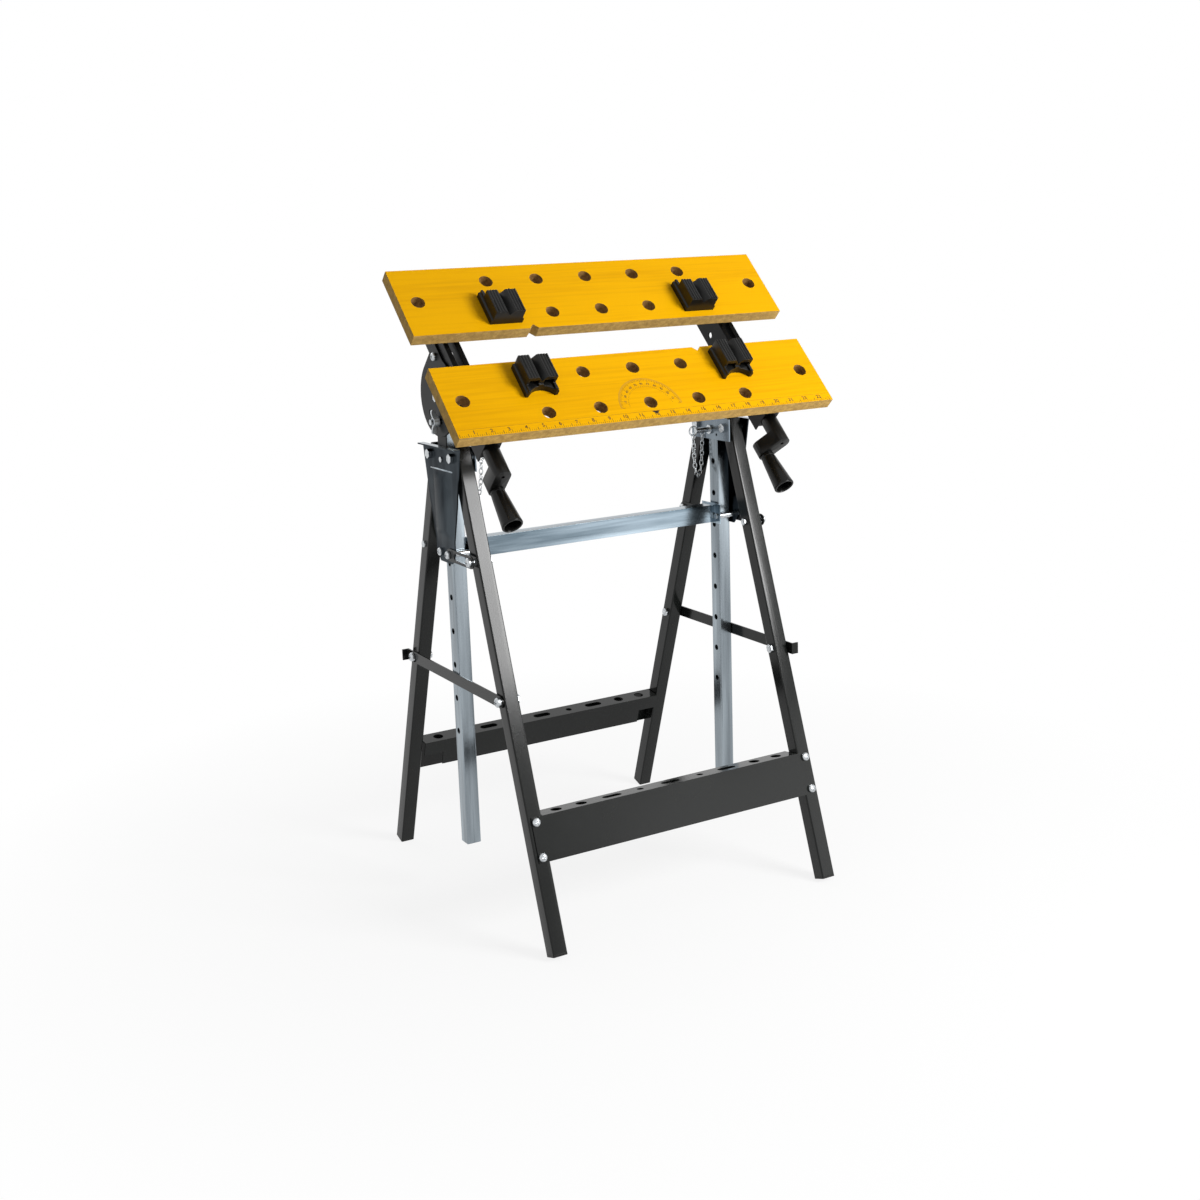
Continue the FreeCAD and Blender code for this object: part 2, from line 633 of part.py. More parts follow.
# Posts with height holes, uprights on top, tilt bolts and studs
for side_name, side in SIDES:
    zs = (S.post_low, post_top)
    tube = rounded(block((S.leg_inner, leg_outer), (-half_tube, half_tube), zs, side), (1, 3, 5, 7), 2)
    bore_half = half_tube - S.tube_wall
    bore_xs = (S.leg_inner + S.tube_wall, leg_outer - S.tube_wall)
    wide_xs = (S.leg_inner - 1, leg_outer + 1)
    tools = [block(bore_xs, (-bore_half, bore_half), (S.post_low - 1, post_top + 1), side)]
    for step in range(9):
        tools.append(rod("X", (0, pin_height - step * S.pin_step), large + 0.4, wide_xs, side))
    tools.append(rod("X", (0, tilt_height - S.stud_drop), large_fixed, wide_xs, side))
    node(f"post_{side_name}", cut(tube, tools))
    outer_xs = (leg_outer, leg_outer + S.upright_sheet)
    inner_xs = (S.leg_inner - S.upright_sheet, S.leg_inner)
    cheeks = []
    for xs in (outer_xs, inner_xs):
        cheeks.append(block(xs, (-S.upright_half, S.upright_half), (upright_low, tilt_height), side))
        cheeks.append(rod("X", (0, tilt_height), S.upright_half, xs, side))
    back = (S.upright_half - S.upright_sheet, S.upright_half)
    cheeks.append(block((inner_xs[0], outer_xs[1]), back, (upright_low, tilt_height - 12), side))
    wide_xs = (inner_xs[0] - 1, outer_xs[1] + 1)
    tools = [
        rod("X", (0, tilt_height), large_fixed, wide_xs, side),
        rod("X", (0, tilt_height - S.stud_drop), large_fixed, wide_xs, side),
    ]
    node(f"upright_{side_name}", cut(join(cheeks), tools))

quadrant_xs = (channel_inner + S.channel_wide, channel_inner + S.channel_wide + S.quadrant_thick)
solids = []
for side in (-1, 1):
    nut_xs = (S.leg_inner - S.upright_sheet - 4.5, S.leg_inner - S.upright_sheet)
    spot = (0, tilt_height)
    head_xs = (quadrant_xs[1] + S.slide_gap, quadrant_xs[1] + 4.5)
    solids.append(join([
        rod("X", spot, large, (nut_xs[0] - 1, head_xs[1]), side),
        hexagon(spot, 7.2, head_xs, side),
        hexagon(spot, 7.2, nut_xs, side),
    ]))
    spot = (0, tilt_height - S.stud_drop)
    stud = rod("X", spot, large, (nut_xs[0] - 1, quadrant_xs[1] + 13), side)
    solids.append(join([stud, hexagon(spot, 7.2, nut_xs, side)]))
node("tilt_bolts", group(solids))

for side_name, side in SIDES:
    spot = (0, tilt_height - S.stud_drop)
    face = quadrant_xs[1] + S.slide_gap
    low_wing = block((face + 2, face + 11), (-1.5, 1.5), (spot[1] - 17, spot[1] - 4), side)
    high_wing = block((face + 2, face + 11), (-1.5, 1.5), (spot[1] + 4, spot[1] + 17), side)
    hub = rod("X", spot, 7.5, (face, face + 9), side)
    bore = rod("X", spot, large_loose, (face - 1, face + 12), side)
    node(f"wing_nut_{side_name}", cut(join([hub, low_wing, high_wing]), [bore]))

# Lock pins with a pull ring, and the chains that keep them
# The chain's points are measured from the inner plate, the middle and the lock pin
CHAIN = (
    (-31.5, 0, -9.8),
    (-30.5, 1, -58),
    (-16.5, 10, -82),
    (-4.5, 18, -58),
    (-2.5, 18.8, -16),
    (-1.9, 18.8, -7.7),
)


def hanging(points, radius):
    """Round tube on straight runs joined by tangent arcs."""
    edges = []
    last = points[0]
    length = 0
    for before, corner, after in zip(points, points[1:], points[2:]):
        back = (before - corner).normalize()
        on = (after - corner).normalize()
        half = back.getAngle(on) / 2
        reach = 0.45 * min((before - corner).Length, (after - corner).Length)
        bend = reach * math.tan(half)
        middle = (back + on).normalize()
        centre = corner + middle * (reach / math.cos(half))
        start = corner + back * reach
        stop = corner + on * reach
        edges.append(Part.makeLine(last, start))
        edges.append(Part.Arc(start, centre - middle * bend, stop).toShape())
        length += edges[-2].Length + edges[-1].Length
        last = stop
    edges.append(Part.makeLine(last, points[-1]))
    length += edges[-1].Length
    section = Part.Wire([Part.Circle(points[0], points[1] - points[0], radius).toShape()])
    tube = Part.Wire(edges).makePipeShell([section], True, False)
    print("chain length", round(length, 1), "volume ratio", round(tube.Volume / (math.pi * radius ** 2 * length), 4))
    return tube


for side_name, side in SIDES:
    spot = (0, pin_height)
    stop = plate_inner - S.slide_gap
    ring_mid = plate_inner - S.ring_reach
    pin_xs = (ring_mid + 4, plate_face + S.pin_out)
    pin = join([rod("X", spot, large, pin_xs, side), rod("X", spot, 7, (stop - 3, stop), side)])
    eye = rod("Z", (ring_mid + 7, 0), 1.6, (pin_height - 6, pin_height + 6), side)
    loop = doc.addObject("Part::Torus", "loop")
    loop.Radius1 = 7
    loop.Radius2 = 1.2
    place(loop, (side * ring_mid, 0, pin_height), 90)
    node(f"lock_pin_{side_name}", group([cut(pin, [eye]), loop]))
    plate_x = number(plate_inner)
    pin_z = number(pin_height)
    path = [Vector(side * (plate_x + x), y, pin_z + z) for x, y, z in CHAIN]
    chain = doc.addObject("Part::Feature", "chain")
    chain.Shape = hanging(path, number(S.chain_wire))
    node(f"pin_chain_{side_name}", chain)

# Table pieces are built flat about the pivot and tilted together
table_seat = (0, 0, tilt_height)
channel_outer = channel_inner + S.channel_wide
channel_top = S.channel_low + S.channel_tall
axis_x = channel_inner + S.channel_wide / 2
axis_z = channel_top - S.screw_drop
board_low = channel_top + S.carrier_tall
board_top = board_low + S.board_thick
jaw_front = S.board_deep - S.front_edge
jaw_rear = jaw_front + S.jaw_gap
front_mid = jaw_front - S.board_deep / 2
rear_mid = jaw_rear + S.board_deep / 2
screw = S.screw_wide / 2
screw_loose = screw + S.turn_gap


def on_table(x, y, z):
    """Point of the flat table in the tilted place."""
    return (
        x,
        cosine(S.tilt) * y - sine(S.tilt) * z,
        tilt_height + sine(S.tilt) * y + cosine(S.tilt) * z,
    )


for side_name, side in SIDES:
    front = -S.channel_front
    wall_xs = (channel_inner + S.sheet, channel_outer - S.sheet)
    slot_half = S.slot_wide / 2
    slot_ys = (front + S.slot_front, S.channel_rear - S.slot_rear)
    shell = block((channel_inner, channel_outer), (front, S.channel_rear), (S.channel_low, channel_top), side)
    tools = [
        block(wall_xs, (front + S.sheet, S.channel_rear + 1), (S.channel_low - 1, channel_top - S.sheet), side),
        block(wall_xs, (front - 1, front + S.sheet + 1), (S.channel_low - 1, S.channel_low + 8), side),
        block((axis_x - slot_half, axis_x + slot_half), slot_ys, (channel_top - 3, channel_top + 1), side),
        rod("Y", (axis_x, axis_z), screw_loose, (front - 1, front + S.sheet + 1), side),
        rod("X", (S.rivet_side, S.rivet_up), 4.5, (channel_inner - 1, channel_inner + 3), side),
    ]
    for end in (-1, 1):
        spot = (S.rivet_side, S.rivet_up)
        tools.append(rod("X", spot, small_fixed, (channel_outer - 3, channel_outer + 1), side, end))
    node(f"jaw_channel_{side_name}", cut(shell, tools), table_seat, S.tilt)

    half = S.quadrant_half
    wide_xs = (quadrant_xs[0] - 1, quadrant_xs[1] + 1)
    plate = join([
        block(quadrant_xs, (-half, half), (0, S.quadrant_top), side),
        rod("X", (0, 0), half, quadrant_xs, side),
    ])
    arc_out = S.stud_drop + large + 0.5
    arc_in = S.stud_drop - large - 0.5
    sector = rod("X", (0, 0), arc_out, flip(wide_xs, side))
    sector.Angle = 62
    core = rod("X", (0, 0), arc_in, flip((wide_xs[0] - 1, wide_xs[1] + 1), side))
    sweep = doc.addObject("Part::Compound", "sweep")
    sweep.Links = [cut(sector, [core])]
    place(sweep, (0, 0, 0), -61)
    tools = [sweep, rod("X", (0, 0), large_loose, wide_xs, side)]
    for angle in (-1, 61):
        turn = math.radians(angle)
        spot = (-S.stud_drop * math.sin(turn), -S.stud_drop * math.cos(turn))
        tools.append(rod("X", spot, large + 0.5, wide_xs, side))
    for end in (-1, 1):
        tools.append(rod("X", (S.rivet_side, S.rivet_up), small_fixed, wide_xs, side, end))
    node(f"quadrant_{side_name}", cut(plate, tools), table_seat, S.tilt)

    for word, middle, lift in (("support", front_mid, 0), ("carrier", rear_mid, S.slide_gap)):
        ys = (middle - S.carrier_long / 2, middle + S.carrier_long / 2)
        long_ys = (ys[0] - 1, ys[1] + 1)
        hat = block((channel_inner, channel_outer), ys, (channel_top + lift, board_low), side)
        tools = [block(wall_xs, long_ys, (channel_top - 1, board_low - S.sheet), side)]
        for shift in (-20, 20):
            spot = (axis_x, middle + shift)
            tools.append(rod("Z", spot, 2.5 + S.bolt_gap, (board_low - 4, board_low + 1), side))
        node(f"board_{word}_{side_name}", cut(hat, tools), table_seat, S.tilt)

    nut_half = S.nut_wide / 2
    neck_half = S.neck_wide / 2
    nut_xs = (axis_x - nut_half, axis_x + nut_half)
    lump = block(nut_xs, (rear_mid - 12, rear_mid + 12), (axis_z - 9, axis_z + 9), side)
    neck_xs = (axis_x - neck_half, axis_x + neck_half)
    neck = block(neck_xs, (rear_mid - 9, rear_mid + 9), (axis_z, board_low - S.sheet), side)
    bore = rod("Y", (axis_x, axis_z), screw_loose, (rear_mid - 14, rear_mid + 14), side)
    node(f"travel_nut_{side_name}", cut(join([lump, neck]), [bore]), table_seat, S.tilt)

    shoulder = front + S.sheet + S.slide_gap
    long_rod = rod("Y", (axis_x, axis_z), screw, (front - 16, S.channel_rear - 7), side)
    collar = rod("Y", (axis_x, axis_z), 9, (shoulder, shoulder + 6), side)
    node(f"lead_screw_{side_name}", join([long_rod, collar]), table_seat, S.tilt)

# Cranks and grips, the right crank a little turned
for side_name, side in SIDES:
    swing = 0 if side < 0 else 33
    front = -S.channel_front
    hub_half = S.hub_wide / 2
    hub_ys = (front - 26 - S.arm_thick / 2, front - S.slide_gap)
    arm_ys = (front - 24 - S.arm_thick, front - 24)
    out_x = side * axis_x - S.crank_reach * math.sin(math.radians(swing))
    out_z = axis_z - S.crank_reach * math.cos(math.radians(swing))
    lever = doc.addObject("Part::Compound", "lever")
    lever.Links = [block((-hub_half, hub_half), arm_ys, (-S.crank_reach, 0))]
    place(lever, (side * axis_x, 0, axis_z), swing, Vector(0, 1, 0))
    spindle = S.spindle_wide / 2
    end_y = arm_ys[0] - 40
    pieces = [
        rod("Y", (side * axis_x, axis_z), hub_half, hub_ys),
        rod("Y", (side * axis_x, axis_z), hub_half, arm_ys),
        rod("Y", (out_x, out_z), hub_half, arm_ys),
        lever,
        rod("Y", (out_x, out_z), spindle, (end_y, arm_ys[0] + 2)),
        rod("Y", (out_x, out_z), 7, (end_y, end_y + 3)),
    ]
    socket = rod("Y", (side * axis_x, axis_z), screw + 0.1, (front - 16.1, front + 1))
    node(f"crank_{side_name}", cut(join(pieces), [socket]), table_seat, S.tilt)
    near = arm_ys[0] - S.slide_gap
    far = near - S.grip_long
    bore = spindle + S.turn_gap
    seat_y = end_y + 3 + S.slide_gap
    GRIP = ((near, bore), (near, 10), (far, 15), (far, 11.5), (seat_y, 11.5), (seat_y, bore))
    node(f"crank_grip_{side_name}", turned(GRIP), on_table(out_x, 0, out_z), S.tilt)

# Boards with dog holes and a notch in the jaw edge
solids = []
for name, near, far, notch in (("front", jaw_front, -S.front_edge, 1), ("rear", jaw_rear, rear_mid, -1)):
    half = S.board_long / 2
    inward = -1 if notch > 0 else 1
    back = near + inward * S.board_deep
    spot = notch * S.notch_side
    corners = [
        (-half, near),
        (spot - S.notch_half, near),
        (spot, near + inward * S.notch_half),
        (spot + S.notch_half, near),
        (half, near),
        (half, back),
        (-half, back),
    ]
    plank = padded("XY_Plane", corners, board_low, S.board_thick)
    zs = (board_low - 1, board_top + 1)
    hole = S.hole_wide / 2
    tools = []
    for depth in (near + inward * S.hole_row, back - inward * S.hole_row):
        for step in range(-2, 3):
            tools.append(rod("Z", (step * S.hole_step, depth), hole, zs))
    middle = near + inward * S.board_deep / 2
    for side in (-1, 1):
        tools.append(rod("Z", (half - S.hole_end, middle), hole, zs, side))
        for shift in (-20, 20):
            at = (axis_x, middle + shift)
            tools.append(rod("Z", at, 2.5 + S.bolt_gap, (board_low - 1, board_low + 10.5), side))
    node(f"{name}_board", cut(plank, tools), table_seat, S.tilt)

    screws = []
    for side in (-1, 1):
        for shift in (-20, 20):
            at = (axis_x, middle + shift)
            under_web = board_low - S.sheet
            shank = rod("Z", at, 2.5, (under_web - 3, board_low + 10), side)
            screws.append(join([shank, rod("Z", at, 5, (under_web - 3, under_web), side)]))
    if name == "front":
        for side in (-1, 1):
            for end in (-1, 1):
                at = (S.rivet_side, S.rivet_up)
                inner_end = channel_outer - S.sheet - 1.4
                shank = rod("X", at, small, (inner_end, quadrant_xs[1] + 1), side, end)
                head = rod("X", at, 6, (quadrant_xs[1], quadrant_xs[1] + 3.2), side, end)
                screws.append(join([shank, head]))
        node("table_fasteners", group(screws), table_seat, S.tilt)
    else:
        node("jaw_fasteners", group(screws), table_seat, S.tilt)

# Dogs standing in the inner row of holes, open end outwards
foot_low = S.slide_gap
PROFILE = (
    (-S.dog_half, foot_low),
    (S.dog_half, foot_low),
    (S.dog_half, 8),
    (22.5, 9.5),
    (22.5, S.dog_tall),
    (6, S.dog_tall),
    (0.01, S.dog_tall - 8),
    (-6, S.dog_tall),
    (-22.5, S.dog_tall),
    (-22.5, 9.5),
    (-S.dog_half, 8),
)
for end_name, end, depth in (("front", 1, jaw_front - S.hole_row), ("rear", -1, jaw_rear + S.hole_row)):
    for side_name, side in SIDES:
        start = -S.dog_near if end > 0 else -S.dog_far
        lump = padded("XZ_Plane", PROFILE, start, S.dog_near + S.dog_far)
        peg = rod("Z", (0, 0), S.hole_wide / 2 - S.peg_play, (-S.board_thick + 1, foot_low + 1))
        tools = [
            rod("Z", (0, -S.dog_far - 15), 25, (-1, S.dog_tall + 1), 1, end),
            block((-30, 30), (-S.dog_far - 1, -S.dog_far + 12), (13, S.dog_tall + 1), 1, end),
        ]
        for edge in (-1, 1):
            tools.append(block((4, 18.5), (-S.dog_far - 1, -12), (10, 19), edge, end))
            for groove in range(4):
                across = 8.5 + 3.4 * groove
                tools.append(block((across, across + 1.2), (-6, S.dog_near + 1), (S.dog_tall - 0.8, S.dog_tall + 1), edge, end))
        spot = on_table(side * S.dog_step, depth, board_top)
        node(f"dog_{end_name}_{side_name}", cut(join([lump, peg]), tools), spot, S.tilt)

doc.recompute()
for item in doc.Objects:
    if "Invalid" in item.State or "Error" in item.State:
        raise RuntimeError(f"{item.Name} ({item.Label}) is {item.State}")
os.makedirs("parts", exist_ok=True)
for piece in NODES:
    if piece.Shape.isNull() or not piece.Shape.isValid():
        raise RuntimeError(f"{piece.Label} has no sound shape")
    piece.Shape.exportStep(f"parts/{piece.Label}.step")
print(len(NODES), "pieces")
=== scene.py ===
"""Folding workbench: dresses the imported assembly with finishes, eased edges, print, threads and chains."""
from __future__ import annotations

import json
import logging
import math
from dataclasses import dataclass, field, replace
from enum import Enum
from typing import Any, Iterable, NamedTuple, Sequence

import bmesh
import bpy
from mathutils import Matrix, Vector

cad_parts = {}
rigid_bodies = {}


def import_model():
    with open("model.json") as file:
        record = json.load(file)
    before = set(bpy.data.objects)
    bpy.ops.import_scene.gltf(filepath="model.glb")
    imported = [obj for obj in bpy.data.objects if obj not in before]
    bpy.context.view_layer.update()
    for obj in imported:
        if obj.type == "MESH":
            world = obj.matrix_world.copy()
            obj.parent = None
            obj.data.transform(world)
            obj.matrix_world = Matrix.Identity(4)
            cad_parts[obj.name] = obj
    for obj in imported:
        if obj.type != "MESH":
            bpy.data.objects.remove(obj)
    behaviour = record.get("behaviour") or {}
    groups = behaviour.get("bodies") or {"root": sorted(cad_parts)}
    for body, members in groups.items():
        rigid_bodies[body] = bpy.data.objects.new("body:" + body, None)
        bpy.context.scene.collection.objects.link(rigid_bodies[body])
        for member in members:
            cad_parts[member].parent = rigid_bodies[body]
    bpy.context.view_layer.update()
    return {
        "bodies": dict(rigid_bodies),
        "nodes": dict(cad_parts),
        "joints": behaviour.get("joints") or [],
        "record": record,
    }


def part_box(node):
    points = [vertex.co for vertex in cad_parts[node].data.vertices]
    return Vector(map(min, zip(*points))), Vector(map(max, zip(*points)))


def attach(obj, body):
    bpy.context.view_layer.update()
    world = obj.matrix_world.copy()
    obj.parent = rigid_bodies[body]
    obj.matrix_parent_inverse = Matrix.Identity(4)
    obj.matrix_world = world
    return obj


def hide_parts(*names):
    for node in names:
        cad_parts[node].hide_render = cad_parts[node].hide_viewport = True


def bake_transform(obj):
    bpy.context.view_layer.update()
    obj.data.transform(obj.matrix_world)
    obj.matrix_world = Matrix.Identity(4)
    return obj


logging.basicConfig(level=logging.INFO, format="%(message)s")
LOG = logging.getLogger("workbench")
MM = 0.001
TILT = math.radians(45.0)
PIVOT = Vector((0.0, 0.0, 0.744))
SIDES = (("left", -1.0), ("right", 1.0))
ENDS = (("front", 1.0), ("rear", -1.0))
BMesh = bmesh.types.BMesh
Material = bpy.types.Material
Mesh = bpy.types.Mesh
Object = bpy.types.Object
Socket = bpy.types.NodeSocket
Tree = bpy.types.NodeTree
Pair = tuple[float, float]
Triple = tuple[float, float, float]


def linear(hex_code: str) -> tuple[float, float, float, float]:
    """Turn an sRGB hex colour into linear values.

    Args:
        hex_code: Six hex digits with or without a leading hash.

    Returns:
        Linear red, green, blue and an alpha of one.
    """
    digits = hex_code.lstrip("#")
    channels = [int(digits[i:i + 2], 16) / 255.0 for i in (0, 2, 4)]
    flat = [c / 12.92 if c <= 0.04045 else ((c + 0.055) / 1.055) ** 2.4 for c in channels]
    return (flat[0], flat[1], flat[2], 1.0)


def per_metre(size_mm: float) -> float:
    """Texture scale whose features are about this many millimetres wide."""
    return 1.0 / (size_mm * MM)


def add(tree: Tree, kind: str, inputs: dict[Any, Any] | None = None, **settings: Any) -> bpy.types.Node:
    """Add a node with its settings, values and links.

    Args:
        tree: Shader or geometry tree.
        kind: Node type name.
        inputs: Input name or index to a value, or to the output or the one-output node that feeds it.
        settings: Attributes of the node.

    Returns:
        The new node.
    """
    node = tree.nodes.new(kind)
    for name, value in settings.items():
        setattr(node, name, value)
    for key, value in (inputs or {}).items():
        source = value.outputs[0] if isinstance(value, bpy.types.Node) else value
        if isinstance(source, Socket):
            tree.links.new(source, node.inputs[key])
        else:
            node.inputs[key].default_value = source
    return node


def blank(owner: Material | bpy.types.World) -> Tree:
    """Empty the shader tree of a material or the world.

    Args:
        owner: Material or world.

    Returns:
        Its tree without nodes.
    """
    owner.use_nodes = True
    owner.node_tree.nodes.clear()
    return owner.node_tree


class Style(Enum):
    """How a surface was made, with the places of its dark and light colour on the pattern."""

    PAINTED = ("painted", 0.3, 0.7)
    PLATED = ("plated", 0.34, 0.74)
    MOULDED = ("moulded", 0.3, 0.7)
    BRIGHT = ("bright", 0.3, 0.7)
    FACED = ("faced", 0.36, 0.54)
    FIBRE = ("fibre", 0.12, 0.38)
    INK = ("ink", 0.3, 0.7)


@dataclass(frozen=True)
class Finish:
    """One surface finish, with its pattern sizes in millimetres."""

    name: str
    style: Style
    light: str
    dark: str
    roughness: float
    metallic: float = 0.0
    specular: float = 0.5
    patch_mm: float = 20.0
    grain_mm: float = 0.8
    bump_mm: float = 0.02
    stretch: Triple = (1.0, 1.0, 1.0)
    edge_tint: float = 1.0
    detail: Pair = (4.0, 3.0)
    noise_span: Pair = (0.3, 0.7)
    uneven: float = 0.15
    relief: float = 0.5
    spangle: Pair = (8.0, 0.08)

    def build(self) -> Material:
        """Make the procedural material.

        Returns:
            The new material.
        """
        material = bpy.data.materials.new(self.name)
        tree = blank(material)
        place = add(tree, "ShaderNodeTexCoord").outputs["Object"]
        laid = add(tree, "ShaderNodeMapping", {"Vector": place, "Scale": self.stretch}).outputs[0]
        patch, grain = (
            add(tree, "ShaderNodeTexNoise", {
                "Vector": laid,
                "Scale": per_metre(wide_mm),
                "Detail": detail,
            }).outputs["Fac"]
            for wide_mm, detail in zip((self.patch_mm, self.grain_mm), self.detail)
        )
        tones = add(tree, "ShaderNodeValToRGB", {"Fac": self._pattern(tree, laid, patch, grain)})
        colours = (self.dark, self.light)
        for stop, where, code in zip(tones.color_ramp.elements, self.style.value[1:], colours):
            stop.position = where
            stop.color = linear(code)
        rough = add(tree, "ShaderNodeMapRange", {
            "Value": patch,
            "From Min": self.noise_span[0],
            "From Max": self.noise_span[1],
            "To Min": self.roughness * (1.0 - self.uneven),
            "To Max": min(1.0, self.roughness * (1.0 + self.uneven)),
        })
        bump = add(tree, "ShaderNodeBump", {
            "Height": grain,
            "Strength": self.relief,
            "Distance": self.bump_mm * MM,
        })
        shader = add(tree, "ShaderNodeBsdfPrincipled", {
            "Base Color": tones.outputs["Color"],
            "Metallic": self.metallic,
            "Roughness": rough,
            "Normal": bump,
            "Specular IOR Level": self.specular,
            "Specular Tint": (self.edge_tint, self.edge_tint, self.edge_tint, 1.0),
        })
        add(tree, "ShaderNodeOutputMaterial", {"Surface": shader})
        return material

    def _pattern(self, tree: Tree, place: Socket, patch: Socket, grain: Socket) -> Socket:
        """Pattern that the two colours follow.

        Args:
            tree: Shader tree.
            place: Mapped object coordinates.
            patch: Broad noise.
            grain: Fine noise.

        Returns:
            The pattern's value.
        """
        if self.style is Style.PLATED:
            size, tint = self.spangle
            scale = per_metre(self.grain_mm * size)
            cell = add(tree, "ShaderNodeTexVoronoi", {"Vector": place, "Scale": scale})
            tone = add(tree, "ShaderNodeMath", {0: cell.outputs["Color"], 1: tint}, operation="MULTIPLY")
            return add(tree, "ShaderNodeMath", {0: tone, 1: patch}, operation="ADD").outputs[0]
        if self.style is Style.FACED:
            streak = add(tree, "ShaderNodeMath", {0: grain, 1: patch}, operation="ADD")
            return add(tree, "ShaderNodeMath", {0: streak, 1: 0.5}, operation="MULTIPLY").outputs[0]
        if self.style is Style.FIBRE:
            return add(tree, "ShaderNodeMath", {0: grain, 1: patch}, operation="MULTIPLY").outputs[0]
        return patch


class Finishes:
    """All finishes of the bench, built once."""

    def __init__(self) -> None:
        """Build every material."""
        # Powder coat on steel: near black and satin, a slight orange peel breaks the reflections
        self.paint = Finish(
            "powder_coated_steel", Style.PAINTED, "#151716", "#0f1110", 0.17,
            specular=0.25, patch_mm=120, grain_mm=0.9, bump_mm=0.012,
        ).build()
        # Stove enamel on the pressed table irons: black and duller than the legs
        self.enamel = Finish(
            "stove_enamelled_steel", Style.PAINTED, "#131415", "#0e0f10", 0.3,
            specular=0.12, patch_mm=90, grain_mm=0.9, bump_mm=0.012,
        ).build()
        # Bright zinc plate drawn along the tube: cool grey with long soft streaks, partly the plating's own
        # streaks and partly painted reflection bands
        self.zinc = Finish(
            "zinc_plated_tube", Style.PLATED, "#a9b3ba", "#71797f", 0.22,
            metallic=1.0, patch_mm=16, grain_mm=1.2, bump_mm=0.006, stretch=(1.0, 1.0, 0.05),
        ).build()
        # Bright zinc on the rolled crossbar: bluer and paler, with long dark streaks along its length that
        # are painted reflections of dark surroundings
        self.bar = Finish(
            "zinc_plated_bar", Style.PLATED, "#acbbc6", "#55646e", 0.18,
            metallic=1.0, patch_mm=16, grain_mm=1.2, bump_mm=0.006, stretch=(0.05, 1.0, 1.0),
        ).build()
        # Zinc over cold-rolled plate, with broad clouds that a pressed sheet has; its dark base colour is a
        # painted dark reflection, the same plating as the tubes shaded down for the dark surroundings it
        # mirrors
        self.plate = Finish(
            "zinc_sheet_painted_dark_reflection", Style.PLATED, "#474e53", "#20252a", 0.2,
            metallic=1.0, patch_mm=38, grain_mm=1.0, bump_mm=0.006, stretch=(1.0, 1.0, 0.35), edge_tint=0.6,
        ).build()
        # Zinc on the small inner plates: a middle grey between the tubes and the pressed plates, the same
        # plating shaded darker as a painted reflection of the dark legs beside it
        self.bracket = Finish(
            "zinc_plated_bracket", Style.PLATED, "#7e8890", "#565e66", 0.22,
            metallic=1.0, patch_mm=38, grain_mm=1.0, bump_mm=0.006, stretch=(1.0, 1.0, 0.35),
        ).build()
        # Moulded polypropylene: black, with a fine spark texture
        self.plastic = Finish(
            "moulded_polypropylene", Style.MOULDED, "#131312", "#0c0c0b", 0.34,
            specular=0.26, patch_mm=30, grain_mm=0.5, bump_mm=0.02,
        ).build()
        # Blow-moulded grip: the same black, smoother and glossier than the crank
        self.grip = Finish(
            "smooth_polypropylene", Style.MOULDED, "#0f0f0e", "#0a0a09", 0.24,
            specular=0.2, patch_mm=30, grain_mm=0.5, bump_mm=0.008,
        ).build()
        # Die-cast zinc alloy: pale grey and duller than turned steel
        self.cast = Finish(
            "cast_zinc_alloy", Style.BRIGHT, "#ccd0d3", "#abb0b4", 0.42,
            metallic=1.0, patch_mm=3, grain_mm=0.6,
        ).build()
        # Rolled and turned steel fasteners: pale and shiny
        self.bright = Finish(
            "bright_steel", Style.BRIGHT, "#d4d7d9", "#a3a8ac", 0.2,
            metallic=1.0, patch_mm=3, grain_mm=0.6,
        ).build()
        # Printed melamine face: warm yellow with long faint streaks, coarser than real to show in the render
        self.face = Finish(
            "yellow_melamine_face", Style.FACED, "#e9ac02", "#dd9f01", 0.45,
            specular=0.05, patch_mm=70, grain_mm=4.0, bump_mm=0.008, stretch=(0.03, 1.0, 1.0),
        ).build()
        # Cut fibreboard: brown, felted and dull
        self.fibre = Finish(
            "cut_fibreboard", Style.FIBRE, "#c8a45e", "#97763f", 0.85,
            specular=0.2, patch_mm=6, grain_mm=0.7, bump_mm=0.08,
        ).build()
        # Drilled fibreboard: the wall of a hole is darker than a sawn edge
        self.hole = Finish(
            "drilled_fibreboard", Style.FIBRE, "#b08850", "#6e4e28", 0.9,
            specular=0.2, patch_mm=5, grain_mm=0.7, bump_mm=0.08,
        ).build()
        # Screen ink of the ruler and protractor: thin brown on the yellow face
        ink = Finish("brown_screen_ink", Style.INK, "#704803", "#5e3c02", 0.5, specular=0.3, patch_mm=8)
        self.ink = ink.build()
        # The same ink laid thin: the yellow shows through it
        self.thin_ink = replace(ink, name="thin_screen_ink", light="#cf9808", dark="#c48d06").build()
        # Heavier black ink of the ruler's middle mark
        self.black_ink = replace(ink, name="black_screen_ink", light="#1e1a10", dark="#15120b").build()


def on_table(x: float, along: float, above: float) -> Vector:
    """Point of the flat table, given in millimetres about its pivot, in the tilted place."""
    turned = Matrix.Rotation(TILT, 3, "X") @ Vector((x * MM, along * MM, above * MM))
    return PIVOT + turned


def table_seat(x: float, along: float, above: float) -> Matrix:
    """Placement of something that is built flat, given in millimetres about the table's pivot."""
    return Matrix.Translation(on_table(x, along, above)) @ Matrix.Rotation(TILT, 4, "X")


def linked(name: str, data: bpy.types.ID) -> Object:
    """Put a mesh, curve, lamp or camera into the scene.

    Args:
        name: Name of the object.
        data: What the object shows.

    Returns:
        The new object.
    """
    obj = bpy.data.objects.new(name, data)
    bpy.context.scene.collection.objects.link(obj)
    return obj


